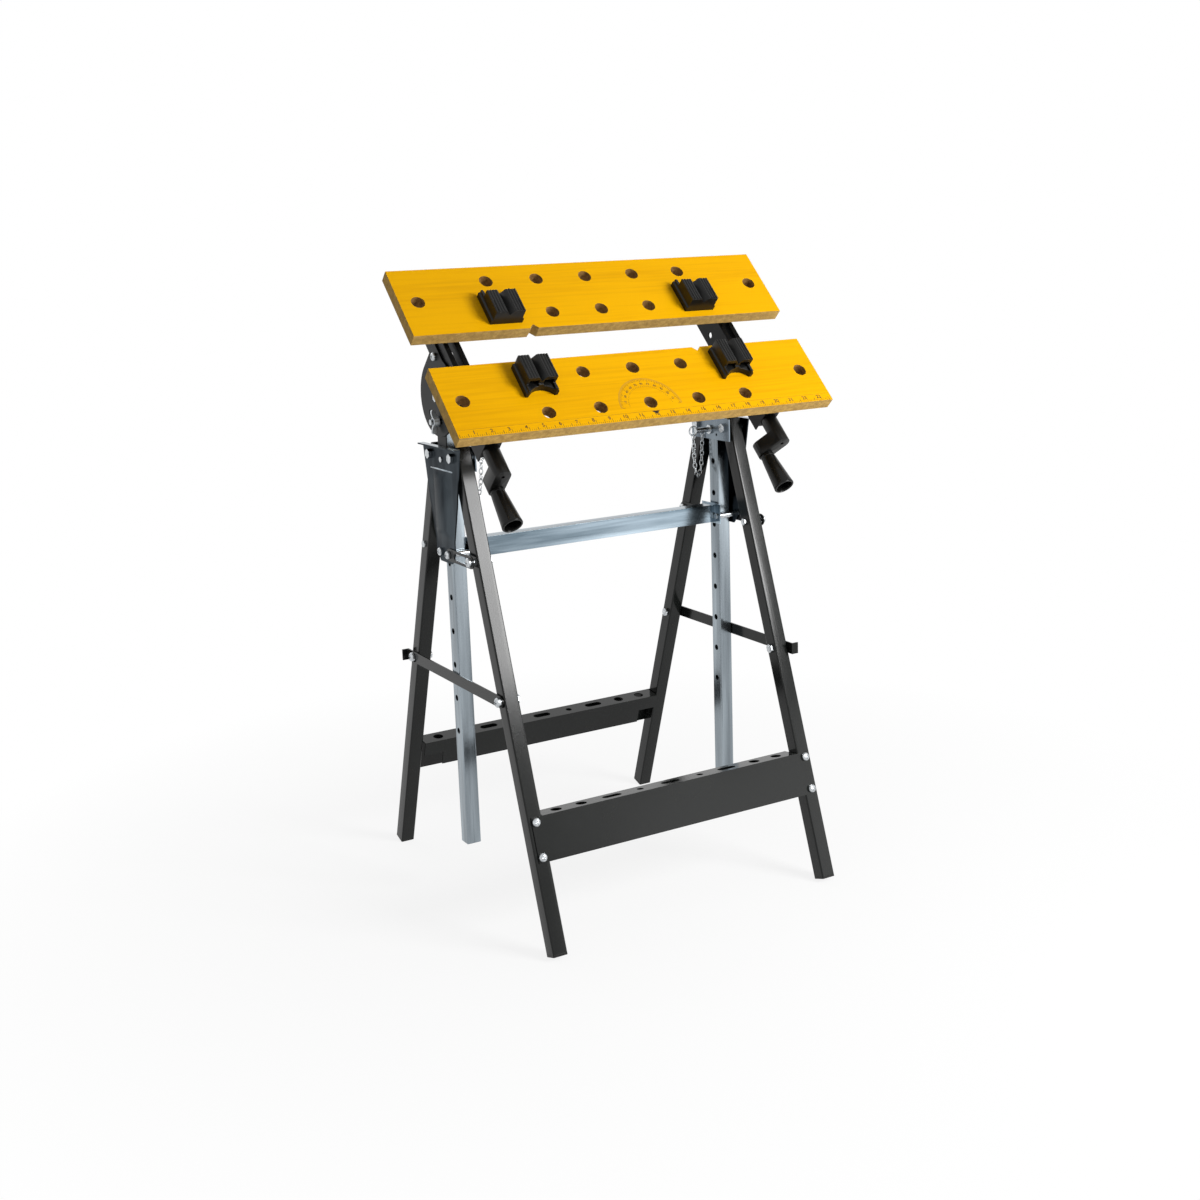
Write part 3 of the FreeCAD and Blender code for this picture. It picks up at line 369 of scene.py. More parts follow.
def plain_mesh(obj: Object) -> Object:
    """Replace an object by a plain mesh of what its modifiers give.

    Args:
        obj: Object with live modifiers.

    Returns:
        A new mesh object without modifiers.
    """
    graph = bpy.context.evaluated_depsgraph_get()
    mesh = bpy.data.meshes.new_from_object(obj.evaluated_get(graph))
    result = linked(obj.name + "_flat", mesh)
    name = obj.name
    bpy.data.objects.remove(obj)
    result.name = name
    mesh.name = name
    return result


def soften(mesh: Mesh, angle_deg: float = 32.0) -> None:
    """Smooth shading with sharp edges over an angle."""
    mesh.polygons.foreach_set("use_smooth", [True] * len(mesh.polygons))
    mesh.set_sharp_from_angle(angle=math.radians(angle_deg))


def ease(obj: Object, width_mm: float, segments: int = 2, angle_deg: float = 35.0) -> Object:
    """Round the edges of an object and keep its flat faces flat to the eye.

    Args:
        obj: Object with a merged mesh.
        width_mm: Width of the eased edge.
        segments: Facets of the eased edge.
        angle_deg: Edges sharper than this are eased.

    Returns:
        The eased object.
    """
    soften(obj.data, angle_deg)
    bevel = obj.modifiers.new("ease", "BEVEL")
    bevel.width = width_mm * MM
    bevel.segments = segments
    bevel.limit_method = "ANGLE"
    bevel.angle_limit = math.radians(angle_deg)
    bevel.use_clamp_overlap = True
    bevel.harden_normals = True
    return plain_mesh(obj)


def mesh_object(name: str, mesh: Mesh, materials: Iterable[Material]) -> Object:
    """Link a mesh as a new object with its materials.

    Args:
        name: Piece name.
        mesh: Mesh of the piece.
        materials: Finishes in the order of their slots.

    Returns:
        The new object.
    """
    obj = linked(name, mesh)
    mesh.materials.clear()
    for material in materials:
        mesh.materials.append(material)
    return obj


def from_bmesh(name: str, bm: BMesh, materials: Iterable[Material]) -> Object:
    """Turn an edited mesh into a linked object and free it.

    Args:
        name: Piece name.
        bm: Edited mesh.
        materials: Finishes in the order of their slots.

    Returns:
        The new object.
    """
    mesh = bpy.data.meshes.new(name)
    bm.to_mesh(mesh)
    bm.free()
    return mesh_object(name, mesh, materials)


def bridge(bm: BMesh, here: Sequence[Any], after: Sequence[Any]) -> None:
    """Join two rings of vertices by a band of faces.

    Args:
        bm: Edited mesh.
        here: First ring.
        after: Second ring, with as many vertices.
    """
    for k in range(len(here)):
        m = (k + 1) % len(here)
        bm.faces.new((here[k], here[m], after[m], after[k]))


def lathe(bm: BMesh, profile: Sequence[Pair], seat: Matrix, steps: int) -> None:
    """Turn a closed profile about the seat's Y axis.

    Args:
        bm: Edited mesh that gets the turned ring.
        profile: Closed loop of places along the axis and radii, in millimetres.
        seat: Placement of the axis.
        steps: Facets round the axis.
    """
    rings = []
    for step in range(steps):
        angle = math.tau * step / steps
        around = [Vector((r * math.cos(angle), a, r * math.sin(angle))) * MM for a, r in profile]
        rings.append([bm.verts.new(seat @ point) for point in around])
    for step in range(steps):
        bridge(bm, rings[step], rings[(step + 1) % steps])
    bmesh.ops.recalc_face_normals(bm, faces=bm.faces)


def grow(name: str, base: bpy.types.ID, tree: Tree, values: dict[str, Any]) -> Object:
    """Run a geometry tree over a base shape and keep the plain mesh.

    Args:
        name: Piece name.
        base: Mesh or curve that the tree starts from.
        tree: Geometry tree.
        values: Values of the tree's named inputs.

    Returns:
        The plain mesh object.
    """
    obj = linked(name, base)
    run = obj.modifiers.new("grow", "NODES")
    run.node_group = tree
    for item in tree.interface.items_tree:
        if item.in_out == "INPUT" and item.name in values:
            run[item.identifier] = values[item.name]
    return plain_mesh(obj)


def spots(name: str, places: Sequence[Vector], **fields: Sequence[Any]) -> Mesh:
    """Mesh of loose points with named values.

    Args:
        name: Mesh name.
        places: Points.
        fields: One list of numbers or vectors for each named value.

    Returns:
        The mesh.
    """
    mesh = bpy.data.meshes.new(name)
    mesh.from_pydata([tuple(p) for p in places], [], [])
    for key, values in fields.items():
        if isinstance(values[0], Vector):
            layer = mesh.attributes.new(key, "FLOAT_VECTOR", "POINT")
            layer.data.foreach_set("vector", [c for v in values for c in v])
        else:
            layer = mesh.attributes.new(key, "FLOAT", "POINT")
            layer.data.foreach_set("value", list(values))
    return mesh


def new_tree(name: str, sizes: Sequence[str]) -> tuple[Tree, Any]:
    """Empty geometry tree with named sizes and a finish as inputs.

    Args:
        name: Tree name.
        sizes: Names of its number inputs.

    Returns:
        The tree and the outputs of its entry node.
    """
    tree = bpy.data.node_groups.new(name, "GeometryNodeTree")
    tree.interface.new_socket("Geometry", in_out="INPUT", socket_type="NodeSocketGeometry")
    for size in sizes:
        tree.interface.new_socket(size, in_out="INPUT", socket_type="NodeSocketFloat")
    tree.interface.new_socket("Finish", in_out="INPUT", socket_type="NodeSocketMaterial")
    tree.interface.new_socket("Geometry", in_out="OUTPUT", socket_type="NodeSocketGeometry")
    return tree, add(tree, "NodeGroupInput").outputs


def close_tree(tree: Tree, entry: Any, placing: dict[str, Any]) -> Tree:
    """Place instances on points and end a geometry tree in real meshes with their finish.

    Args:
        tree: Geometry tree.
        entry: Outputs of its entry node.
        placing: Points, instance, rotation and scale of what is placed.

    Returns:
        The finished tree.
    """
    placed = add(tree, "GeometryNodeInstanceOnPoints", placing)
    real = add(tree, "GeometryNodeRealizeInstances", {0: placed})
    dressed = add(tree, "GeometryNodeSetMaterial", {"Geometry": real, "Material": entry["Finish"]})
    add(tree, "NodeGroupOutput", {0: dressed})
    return tree


@dataclass
class Dresser:
    """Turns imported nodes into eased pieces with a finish."""

    frame: dict[str, Any]
    finishes: Finishes
    owner: dict[str, str] = field(default_factory=dict)
    slots: dict[str, str] = field(default_factory=dict)
    weld_mm: float = 0.002
    flat_deg: float = 0.6

    def __post_init__(self) -> None:
        """Look up the body and the material slot of every node."""
        for body, nodes in self.frame["record"]["behaviour"]["bodies"].items():
            for node in nodes:
                self.owner[node] = body
        for entry in self.frame["record"]["subparts"]:
            self.slots[entry["node"]] = entry["material_slot"]

    def copy_mesh(self, node: str) -> Mesh:
        """Copy a node's mesh with its triangles merged into flat faces.

        Args:
            node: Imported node.

        Returns:
            The merged mesh.
        """
        mesh = self.frame["nodes"][node].data.copy()
        mesh.name = node + "_dressed"
        bm = bmesh.new()
        bm.from_mesh(mesh)
        bmesh.ops.remove_doubles(bm, verts=bm.verts, dist=self.weld_mm * MM)
        flat = math.radians(self.flat_deg)
        bmesh.ops.dissolve_limit(bm, angle_limit=flat, verts=bm.verts, edges=bm.edges)
        bm.to_mesh(mesh)
        bm.free()
        return mesh

    def shaped(self, node: str, material: Material, width_mm: float, segments: int = 2) -> Object:
        """Copy a node with eased edges.

        Args:
            node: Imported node.
            material: Finish of the piece.
            width_mm: Width of the eased edge.
            segments: Facets of the eased edge.

        Returns:
            The copy, which doesn't stand for the node yet.
        """
        obj = mesh_object(node + "_dressed", self.copy_mesh(node), [material])
        return ease(obj, width_mm, segments)

    def eased(self, node: str, material: Material, width_mm: float) -> Object:
        """Replace a node by a copy with eased edges.

        Args:
            node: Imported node.
            material: Finish of the piece.
            width_mm: Width of the eased edge.

        Returns:
            The piece.
        """
        obj = self.shaped(node, material, width_mm)
        self.settle(obj, node)
        return obj

    def settle(self, obj: Object, node: str) -> None:
        """Let a piece stand for a node and ride on its body."""
        self.attach(obj, node)
        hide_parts(node)

    def attach(self, obj: Object, node: str) -> None:
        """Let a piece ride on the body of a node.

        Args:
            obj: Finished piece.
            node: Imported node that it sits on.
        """
        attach(obj, self.owner[node])
        LOG.info("piece %s on %s", obj.name, self.owner[node])


class Mark(NamedTuple):
    """One printed bar, in millimetres and degrees, with its weight against a plain tick."""

    x: float
    along: float
    reach: float
    turn: float = 0.0
    weight: float = 1.0


class Label(NamedTuple):
    """One printed number, in millimetres and degrees."""

    text: str
    x: float
    along: float
    tall: float
    turn: float = 0.0


@dataclass
class Boards:
    """The two clamping boards with their cut edges, holes and print."""

    dresser: Dresser
    long_mm: float = 605.0
    front_mm: float = -158.0
    top_mm: float = 108.0
    eased_mm: float = 0.5
    rim_mm: float = 12.0
    face_slope: float = 0.9
    lift_mm: float = 0.06
    film_mm: float = 0.05
    text_scale: float = 1.35
    text_swell: float = 0.03
    inch_mm: float = 25.4
    parts: int = 8
    ruler_mm: float = 13.0
    rule_weight: float = 0.5
    margin_mm: float = 2.0
    edge_mm: float = 1.0
    tick_mm: float = 0.5
    inch_tick: Pair = (6.0, 1.3)
    half_tick: Pair = (5.0, 1.8)
    part_tick: Pair = (2.6, 1.0)
    number_mm: Triple = (-3.6, 6.6, 6.0)
    arrow_mm: tuple[Pair, ...] = ((1.0, 7.0), (7.0, 12.5), (-5.0, 12.5))
    hub_mm: Pair = (-0.5, -136.0)
    arcs_mm: Triple = (50.0, 47.6, 34.0)
    scale_deg: tuple[int, int, int] = (3, 5, 15)
    scale_ticks_mm: Triple = (2.6, 1.8, 4.6)
    label_arc_mm: float = 39.5
    label_mm: float = 3.6

    def build(self) -> None:
        """Dress both boards and print the front one."""
        for end_name, _ in ENDS:
            self._board(f"{end_name}_board")
        tree = self._marks_tree()
        self._ruler(tree)
        self._protractor(tree)
        self._centre_mark()

    def _board(self, node: str) -> None:
        """Give a board its face, edge and hole finishes.

        Args:
            node: Packed board.
        """
        finishes = self.dresser.finishes
        mesh = self.dresser.eased(node, finishes.face, self.eased_mm).data
        mesh.materials.append(finishes.fibre)
        mesh.materials.append(finishes.hole)
        tilt = Matrix.Rotation(TILT, 3, "X")
        up = tilt @ Vector((0.0, 0.0, 1.0))
        along = tilt @ Vector((0.0, 1.0, 0.0))
        places = [along.dot(v.co - PIVOT) for v in mesh.vertices]
        low = min(places) + self.rim_mm * MM
        high = max(places) - self.rim_mm * MM
        side = (self.long_mm / 2 - self.rim_mm) * MM
        for polygon in mesh.polygons:
            slope = polygon.normal.dot(up)
            within = low < along.dot(polygon.center - PIVOT) < high and abs(polygon.center.x) < side
            if slope > self.face_slope:
                polygon.material_index = 0
            else:
                polygon.material_index = 2 if within and abs(slope) < self.face_slope else 1

    def _marks_tree(self) -> Tree:
        """Geometry tree that prints a bar at every point, with its own reach and turn.

        Returns:
            The tree.
        """
        tree, entry = new_tree("print_marks", ("Width",))
        reach, turn, weight = (
            add(tree, "GeometryNodeInputNamedAttribute", {"Name": key}, data_type="FLOAT")
            for key in ("reach", "turn", "weight")
        )
        square = {"Size X": 1.0, "Size Y": 1.0, "Vertices X": 2, "Vertices Y": 2}
        bar = add(tree, "GeometryNodeMeshGrid", square)
        foot = add(tree, "GeometryNodeTransform", {"Geometry": bar, "Translation": (0.0, 0.5, 0.0)})
        wide = add(tree, "ShaderNodeMath", {0: entry["Width"], 1: weight}, operation="MULTIPLY")
        return close_tree(tree, entry, {
            "Points": entry["Geometry"],
            "Instance": foot,
            "Rotation": add(tree, "ShaderNodeCombineXYZ", {2: turn}),
            "Scale": add(tree, "ShaderNodeCombineXYZ", {0: wide, 1: reach, 2: 1.0}),
        })

    def _print(self, obj: Object) -> None:
        """Give a flat print the thickness of an ink film and lay it on the front board.

        Args:
            obj: Flat print about the table's pivot.
        """
        film = obj.modifiers.new("film", "SOLIDIFY")
        film.thickness = self.film_mm * MM
        obj = plain_mesh(obj)
        obj.data.transform(table_seat(0.0, 0.0, self.top_mm + self.lift_mm))
        self.dresser.attach(obj, "front_board")

    def _marks(self, name: str, tree: Tree, marks: Sequence[Mark]) -> None:
        """Print a row of marks.

        Args:
            name: Piece name.
            tree: Tree that prints a bar at every point.
            marks: Bars of the row.
        """
        base = spots(
            name,
            [Vector((mark.x * MM, mark.along * MM, 0.0)) for mark in marks],
            reach=[mark.reach * MM for mark in marks],
            turn=[math.radians(mark.turn) for mark in marks],
            weight=[mark.weight for mark in marks],
        )
        values = {"Width": self.tick_mm * MM, "Finish": self.dresser.finishes.ink}
        self._print(grow(name, base, tree, values))

    def _numbers(self, name: str, labels: Sequence[Label]) -> None:
        """Print a row of numbers.

        Args:
            name: Piece name.
            labels: Numbers of the row.
        """
        bm = bmesh.new()
        for label in labels:
            curve = bpy.data.curves.new(name, "FONT")
            curve.body = label.text
            curve.size = label.tall * MM * self.text_scale
            curve.offset = self.text_swell * label.tall * MM
            curve.align_x = "CENTER"
            curve.align_y = "CENTER"
            obj = plain_mesh(linked(name, curve))
            spin = Matrix.Rotation(math.radians(label.turn), 4, "Z")
            obj.data.transform(Matrix.Translation((label.x * MM, label.along * MM, 0.0)) @ spin)
            bm.from_mesh(obj.data)
            bpy.data.objects.remove(obj)
        self._print(from_bmesh(name, bm, [self.dresser.finishes.ink]))

    def _ruler(self, tree: Tree) -> None:
        """Print the inch ruler along the front edge.

        Args:
            tree: Tree that prints a bar at every point.
        """
        edge = self.front_mm + self.edge_mm
        start = -self.long_mm / 2 + self.margin_mm
        span = self.long_mm - 2 * self.margin_mm
        kinds = {0: self.inch_tick, self.parts // 2: self.half_tick}
        marks = []
        for step in range(int(span / self.inch_mm * self.parts) + 1):
            reach, weight = kinds.get(step % self.parts, self.part_tick)
            marks.append(Mark(start + step * self.inch_mm / self.parts, edge, reach, weight=weight))
        marks.append(Mark(start, self.front_mm + self.ruler_mm, span, -90.0, self.rule_weight))
        self._marks("ruler_ticks", tree, marks)
        across, along, tall = self.number_mm
        self._numbers("ruler_numbers", [
            Label(str(inch), start + inch * self.inch_mm + across, edge + along, tall)
            for inch in range(1, int(span / self.inch_mm) + 1)
        ])

    def _protractor(self, tree: Tree) -> None:
        """Print the half-circle angle scale about the middle hole.

        Args:
            tree: Tree that prints a bar at every point.
        """
        outer, middle, inner = self.arcs_mm
        fine, coarse, label = self.scale_deg
        fine_tick, coarse_tick, label_tick = self.scale_ticks_mm
        bm = bmesh.new()
        rings = []
        for degree in range(0, 181, fine):
            places = [self._round(radius, degree) for radius in (middle, outer)]
            rings.append([bm.verts.new((x * MM, y * MM, 0.0)) for x, y in places])
        for (low, high), (next_low, next_high) in zip(rings, rings[1:]):
            bm.faces.new((low, high, next_high, next_low))
        self._print(from_bmesh("protractor_band", bm, [self.dresser.finishes.thin_ink]))
        marks = []
        for degree in range(0, 181, fine):
            low = middle - (fine_tick if degree % label else label_tick)
            marks.append(Mark(*self._round(low, degree), middle - low, degree - 90.0))
        for degree in range(coarse, 180, coarse):
            marks.append(Mark(*self._round(inner, degree), coarse_tick, degree - 90.0))
        self._marks("protractor_scale", tree, marks)
        labels = []
        for degree in range(label, 180, label):
            place = self._round(self.label_arc_mm, degree)
            labels.append(Label(str(min(degree, 180 - degree)), *place, self.label_mm, degree - 90.0))
        self._numbers("protractor_numbers", labels)

    def _round(self, radius: float, degree: float) -> Pair:
        """Place on the board at a radius and angle about the scale's middle."""
        angle = math.radians(degree)
        return self.hub_mm[0] + radius * math.cos(angle), self.hub_mm[1] + radius * math.sin(angle)

    def _centre_mark(self) -> None:
        """Print the black arrow at the ruler's middle."""
        bm = bmesh.new()
        bm.faces.new([bm.verts.new((x * MM, (self.front_mm + y) * MM, 0.0)) for x, y in self.arrow_mm])
        self._print(from_bmesh("ruler_centre_mark", bm, [self.dresser.finishes.black_ink]))


@dataclass
class Threads:
    """Lead screws with a rolled trapezoid thread."""

    dresser: Dresser
    pitch_mm: float = 4.0
    radius_mm: float = 6.0
    depth_mm: float = 1.0
    shank_mm: float = 5.7
    axis_mm: Pair = (229.5, 46.0)
    span_mm: Pair = (-152.0, 155.0)
    collar_mm: Triple = (-133.7, -127.7, 9.0)
    ledge_mm: float = 0.02
    flank: float = 3.0
    root: float = 0.25
    around: int = 28
    per_turn: int = 8

    def build(self) -> None:
        """Make both screws."""
        for side_name, side in SIDES:
            self._screw(side_name, side)

    def _radius(self, along: float, turn: float) -> float:
        """Radius of the screw.

        Args:
            along: Place along its axis in millimetres.
            turn: Share of a turn round its axis.

        Returns:
            The radius in millimetres.
        """
        low, high, wide = self.collar_mm
        slack = self.ledge_mm / 2
        if low - slack <= along <= high + slack:
            return wide
        if along < low:
            return self.shank_mm
        phase = (along / self.pitch_mm - turn) % 1.0
        rise = min(1.0, max(0.0, self.flank * (0.5 - abs(phase - 0.5)) - self.root))
        return self.radius_mm - self.depth_mm * (1.0 - rise)

    def _screw(self, side_name: str, side: float) -> None:
        """Make one screw as a closed ring mesh.

        Args:
            side_name: Left or right.
            side: Minus one on the left, one on the right.
        """
        bm = bmesh.new()
        low, high = self.span_mm
        first, last, _ = self.collar_mm
        places = [low, first - self.ledge_mm, first, last, last + self.ledge_mm]
        step = self.pitch_mm / self.per_turn
        count = int((high - last) / step)
        places += [last + self.ledge_mm + step * (k + 1) for k in range(count)]
        rings = []
        for along in places:
            ring = []
            for k in range(self.around):
                turn = k / self.around
                angle = math.tau * turn
                radius = self._radius(along, turn)
                x = side * self.axis_mm[0] + radius * math.cos(angle)
                ring.append(bm.verts.new(on_table(x, along, self.axis_mm[1] + radius * math.sin(angle))))
            rings.append(ring)
        for before, after in zip(rings, rings[1:]):
            bridge(bm, before, after)
        bm.faces.new(rings[0])
        bm.faces.new(list(reversed(rings[-1])))
        bmesh.ops.recalc_face_normals(bm, faces=bm.faces)
        obj = from_bmesh(f"lead_screw_{side_name}_thread", bm, [self.dresser.finishes.bright])
        soften(obj.data, angle_deg=40.0)
        self.dresser.settle(obj, f"lead_screw_{side_name}")


@dataclass
class Chains:
    """Wire chains between the pull rings and the inner plates."""

    dresser: Dresser
    pitch_mm: float = 7.6
    wire_mm: float = 0.72
    link_long_mm: float = 10.2
    link_wide_mm: float = 5.8
    link_facets: tuple[int, int] = (14, 6)
    curve_order: int = 3
    curve_steps: int = 12
    route_mm: tuple[Triple, ...] = (
        (182.0, 0.0, 648.0),
        (183.0, 1.0, 600.0),
        (197.0, 10.0, 580.0),
        (209.0, 18.0, 600.0),
        (211.0, 18.8, 640.0),
        (212.2, 18.8, 648.3),
    )

    def build(self) -> None:
        """Make both chains."""
        tree = self._tree()
        for side_name, side in SIDES:
            self._chain(tree, side_name, side)

    def _tree(self) -> Tree:
        """Geometry tree that strings oval links along a curve, each turned a quarter from the last.

        Returns:
            The tree.
        """
        tree, entry = new_tree("wire_chain", ("Pitch", "Wire", "Long", "Wide"))
        points = add(tree, "GeometryNodeCurveToPoints", {
            "Curve": entry["Geometry"],
            "Length": entry["Pitch"],
        }, mode="LENGTH").outputs
        round_link, round_wire = self.link_facets
        circle = add(tree, "GeometryNodeCurvePrimitiveCircle", {"Resolution": round_link, "Radius": 0.5})
        size = add(tree, "ShaderNodeCombineXYZ", {0: entry["Wide"], 1: entry["Long"], 2: 1.0})
        oval = add(tree, "GeometryNodeTransform", {"Geometry": circle, "Scale": size})
        wire = add(tree, "GeometryNodeCurvePrimitiveCircle", {
            "Resolution": round_wire,
            "Radius": entry["Wire"],
        })
        link = add(tree, "GeometryNodeCurveToMesh", {"Curve": oval, "Profile Curve": wire})
        aim = add(tree, "FunctionNodeAlignRotationToVector", {"Vector": points["Tangent"]}, axis="Y")
        index = add(tree, "GeometryNodeInputIndex")
        odd = add(tree, "ShaderNodeMath", {0: index, 1: 2.0}, operation="MODULO")
        quarter = add(tree, "ShaderNodeMath", {0: odd, 1: math.pi / 2}, operation="MULTIPLY")
        roll = add(tree, "ShaderNodeCombineXYZ", {1: quarter})
        return close_tree(tree, entry, {
            "Points": points["Points"],
            "Instance": link,
            "Rotation": add(tree, "FunctionNodeRotateRotation", {0: aim, 1: roll}, rotation_space="LOCAL"),
        })

    def _chain(self, tree: Tree, side_name: str, side: float) -> None:
        """String one chain along its route between the head and its pin.

        Args:
            tree: Tree that strings the links.
            side_name: Left or right.
            side: Minus one on the left, one on the right.
        """
        name = f"pin_chain_{side_name}_links"
        curve = bpy.data.curves.new(name, "CURVE")
        curve.dimensions = "3D"
        spline = curve.splines.new("NURBS")
        spline.points.add(len(self.route_mm) - 1)
        for point, (x, y, z) in zip(spline.points, self.route_mm):
            point.co = (side * x * MM, y * MM, z * MM, 1.0)
        spline.order_u = self.curve_order
        spline.use_endpoint_u = True
        spline.resolution_u = self.curve_steps
        obj = grow(name, curve, tree, {
            "Pitch": self.pitch_mm * MM,
            "Wire": self.wire_mm * MM,
            "Long": self.link_long_mm * MM,
            "Wide": self.link_wide_mm * MM,
            "Finish": self.dresser.finishes.bright,
        })
        soften(obj.data, angle_deg=60.0)
        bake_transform(obj)
        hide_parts(f"pin_chain_{side_name}")
        LOG.info("piece %s bends from head to pin", obj.name)


@dataclass
class Dogs:
    """Bench dogs with moulded ribs along their tops."""

    dresser: Dresser
    step_mm: float = 160.0
    rows_mm: Pair = (-66.0, 47.0)
    top_mm: float = 133.0
    eased_mm: float = 0.4
    rib_mm: float = 1.6
    rib_facets: int = 10
    rib_long_mm: float = 40.0
    rib_back_mm: float = 3.6
    rib_sink_mm: float = 0.6
    ribs_mm: tuple[float, ...] = (8.2, 12.4, 16.6, 20.8)

    def build(self) -> None:
        """Dress the four dogs."""
        tree = self._ribs_tree()
        for (end_name, end), row in zip(ENDS, self.rows_mm):
            for side_name, side in SIDES:
                node = f"dog_{end_name}_{side_name}"
                self.dresser.eased(node, self.dresser.finishes.plastic, self.eased_mm)
                self._ribs(tree, node, side * self.step_mm, row - end * self.rib_back_mm)

    def _ribs_tree(self) -> Tree:
        """Geometry tree that lays a round rib through every point.

        Returns:
            The tree.
        """
        tree, entry = new_tree("moulded_ribs", ("Radius", "Length"))
        bar = add(tree, "GeometryNodeMeshCylinder", {
            "Vertices": self.rib_facets,
            "Radius": entry["Radius"],
            "Depth": entry["Length"],
        })
        laid = add(tree, "GeometryNodeTransform", {"Geometry": bar, "Rotation": (math.pi / 2, 0.0, 0.0)})
        return close_tree(tree, entry, {"Points": entry["Geometry"], "Instance": laid})

    def _ribs(self, tree: Tree, node: str, x: float, along: float) -> None:
        """Lay the ribs of one dog.

        Args:
            tree: Tree that lays the ribs.
            node: Packed dog.
            x: Middle of the ribs across the table, in millimetres.
            along: Middle of the ribs along the slope, in millimetres.
        """
        across = [edge * rib for edge in (-1.0, 1.0) for rib in self.ribs_mm]
        base = spots(node + "_ribs", [Vector((place * MM, 0.0, 0.0)) for place in across])
        obj = grow(node + "_ribs", base, tree, {
            "Radius": self.rib_mm * MM,
            "Length": self.rib_long_mm * MM,
            "Finish": self.dresser.finishes.plastic,
        })
        obj.data.transform(table_seat(x, along, self.top_mm - self.rib_sink_mm))
        soften(obj.data, angle_deg=50.0)
        self.dresser.attach(obj, node)


@dataclass
class Cranks:
    """Vise cranks with turned hollow grips."""

    dresser: Dresser
    reach_mm: float = 28.5
    axis_mm: Pair = (229.5, 46.0)
    swings_deg: Pair = (0.0, 33.0)
    eased_mm: float = 1.5
    eased_facets: int = 3
    face_mm: float = -182.0
    recess_mm: Pair = (2.6, 5.0)
    recess_facets: int = 24
    grip_facets: int = 48
    grip_mm: tuple[Pair, ...] = (
        (-182.3, 4.6), (-182.3, 9.4), (-182.9, 10.0), (-187.0, 10.3), (-187.6, 9.7), (-189.4, 9.8),
        (-190.0, 10.6), (-232.0, 14.1), (-238.5, 14.8), (-240.6, 15.0), (-241.6, 14.5), (-241.9, 13.6),
        (-241.6, 12.2), (-240.4, 11.6), (-218.7, 11.5), (-218.7, 4.6),
    )

    def build(self) -> None:
        """Dress both cranks and turn their grips."""
        finishes = self.dresser.finishes
        for (side_name, side), swing in zip(SIDES, self.swings_deg):
            node = f"crank_{side_name}"
            arm = self.dresser.shaped(node, finishes.plastic, self.eased_mm, self.eased_facets)
            self.dresser.settle(self._drill(arm, side), node)
            turn = math.radians(swing)
            x = side * self.axis_mm[0] - self.reach_mm * math.sin(turn)
            above = self.axis_mm[1] - self.reach_mm * math.cos(turn)
            bm = bmesh.new()
            lathe(bm, self.grip_mm, table_seat(x, 0.0, above), self.grip_facets)
            grip = from_bmesh(f"crank_grip_{side_name}_turned", bm, [finishes.grip])
            soften(grip.data, angle_deg=40.0)
            self.dresser.settle(grip, f"crank_grip_{side_name}")

    def _drill(self, arm: Object, side: float) -> Object:
        """Sink the fixing screw's recess into the front of an arm.

        Args:
            arm: Crank with eased edges.
            side: Minus one on the left, one on the right.

        Returns:
            The crank with its recess.
        """
        radius, depth = (size * MM for size in self.recess_mm)
        seat = table_seat(side * self.axis_mm[0], self.face_mm, self.axis_mm[1])
        bm = bmesh.new()
        bmesh.ops.create_cone(
            bm, cap_ends=True, segments=self.recess_facets, radius1=radius, radius2=radius,
            depth=2.0 * depth, matrix=seat @ Matrix.Rotation(math.pi / 2, 4, "X"),
        )
        drill = from_bmesh("recess_drill", bm, [])
        cut = arm.modifiers.new("recess", "BOOLEAN")
        cut.operation = "DIFFERENCE"
        cut.solver = "EXACT"
        cut.object = drill
        arm = plain_mesh(arm)
        bpy.data.objects.remove(drill)
        soften(arm.data)
        return arm


@dataclass
class WingNuts:
    """Cast wing nuts on the tilt studs."""

    dresser: Dresser
    height_mm: float = 709.5
    deep_mm: float = 11.0
    thick_mm: float = 3.6
    eased_mm: float = 0.7
    eased_facets: int = 3
    hub_facets: int = 28
    hub_mm: tuple[Pair, ...] = (
        (0.0, 4.5), (0.0, 7.0), (0.5, 7.5), (2.4, 7.5), (6.5, 6.3), (8.4, 6.1), (9.0, 5.5), (9.0, 4.5),
    )
    wing_mm: tuple[Pair, ...] = (
        (2.2, 3.0), (8.2, 4.6), (9.9, 8.4), (10.9, 12.6), (10.7, 15.4), (9.2, 16.9), (6.4, 16.8),
        (4.6, 15.3), (3.2, 11.4), (2.0, 7.6),
    )

    def build(self) -> None:
        """Make both wing nuts."""
        for side_name, side in SIDES:
            node = f"wing_nut_{side_name}"
            low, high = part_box(node)
            self._nut(node, side, max(abs(low[0]), abs(high[0])) - self.deep_mm * MM)

    def _nut(self, node: str, side: float, face: float) -> None:
        """Turn the hub and add two lobed wings.

        Args:
            node: Packed wing nut.
            side: Minus one on the left, one on the right.
            face: Distance of its seat from the middle of the bench, in metres.
        """
        bm = bmesh.new()
        seat = Matrix.Translation((side * face, 0.0, self.height_mm * MM))
        out = Matrix.Rotation(-side * math.pi / 2, 4, "Z")
        lathe(bm, self.hub_mm, seat @ out, self.hub_facets)
        for up in (-1.0, 1.0):
            rims = []
            for shift in (-0.5, 0.5):
                y = shift * self.thick_mm * MM
                rim = []
                for reach, rise in self.wing_mm:
                    place = Vector((side * (face + reach * MM), y, (self.height_mm + up * rise) * MM))
                    rim.append(bm.verts.new(place))
                bm.faces.new(rim)
                rims.append(rim)
            bridge(bm, *rims)
        bmesh.ops.recalc_face_normals(bm, faces=bm.faces)
        obj = from_bmesh(node + "_pressed", bm, [self.dresser.finishes.cast])
        self.dresser.settle(ease(obj, self.eased_mm, self.eased_facets), node)


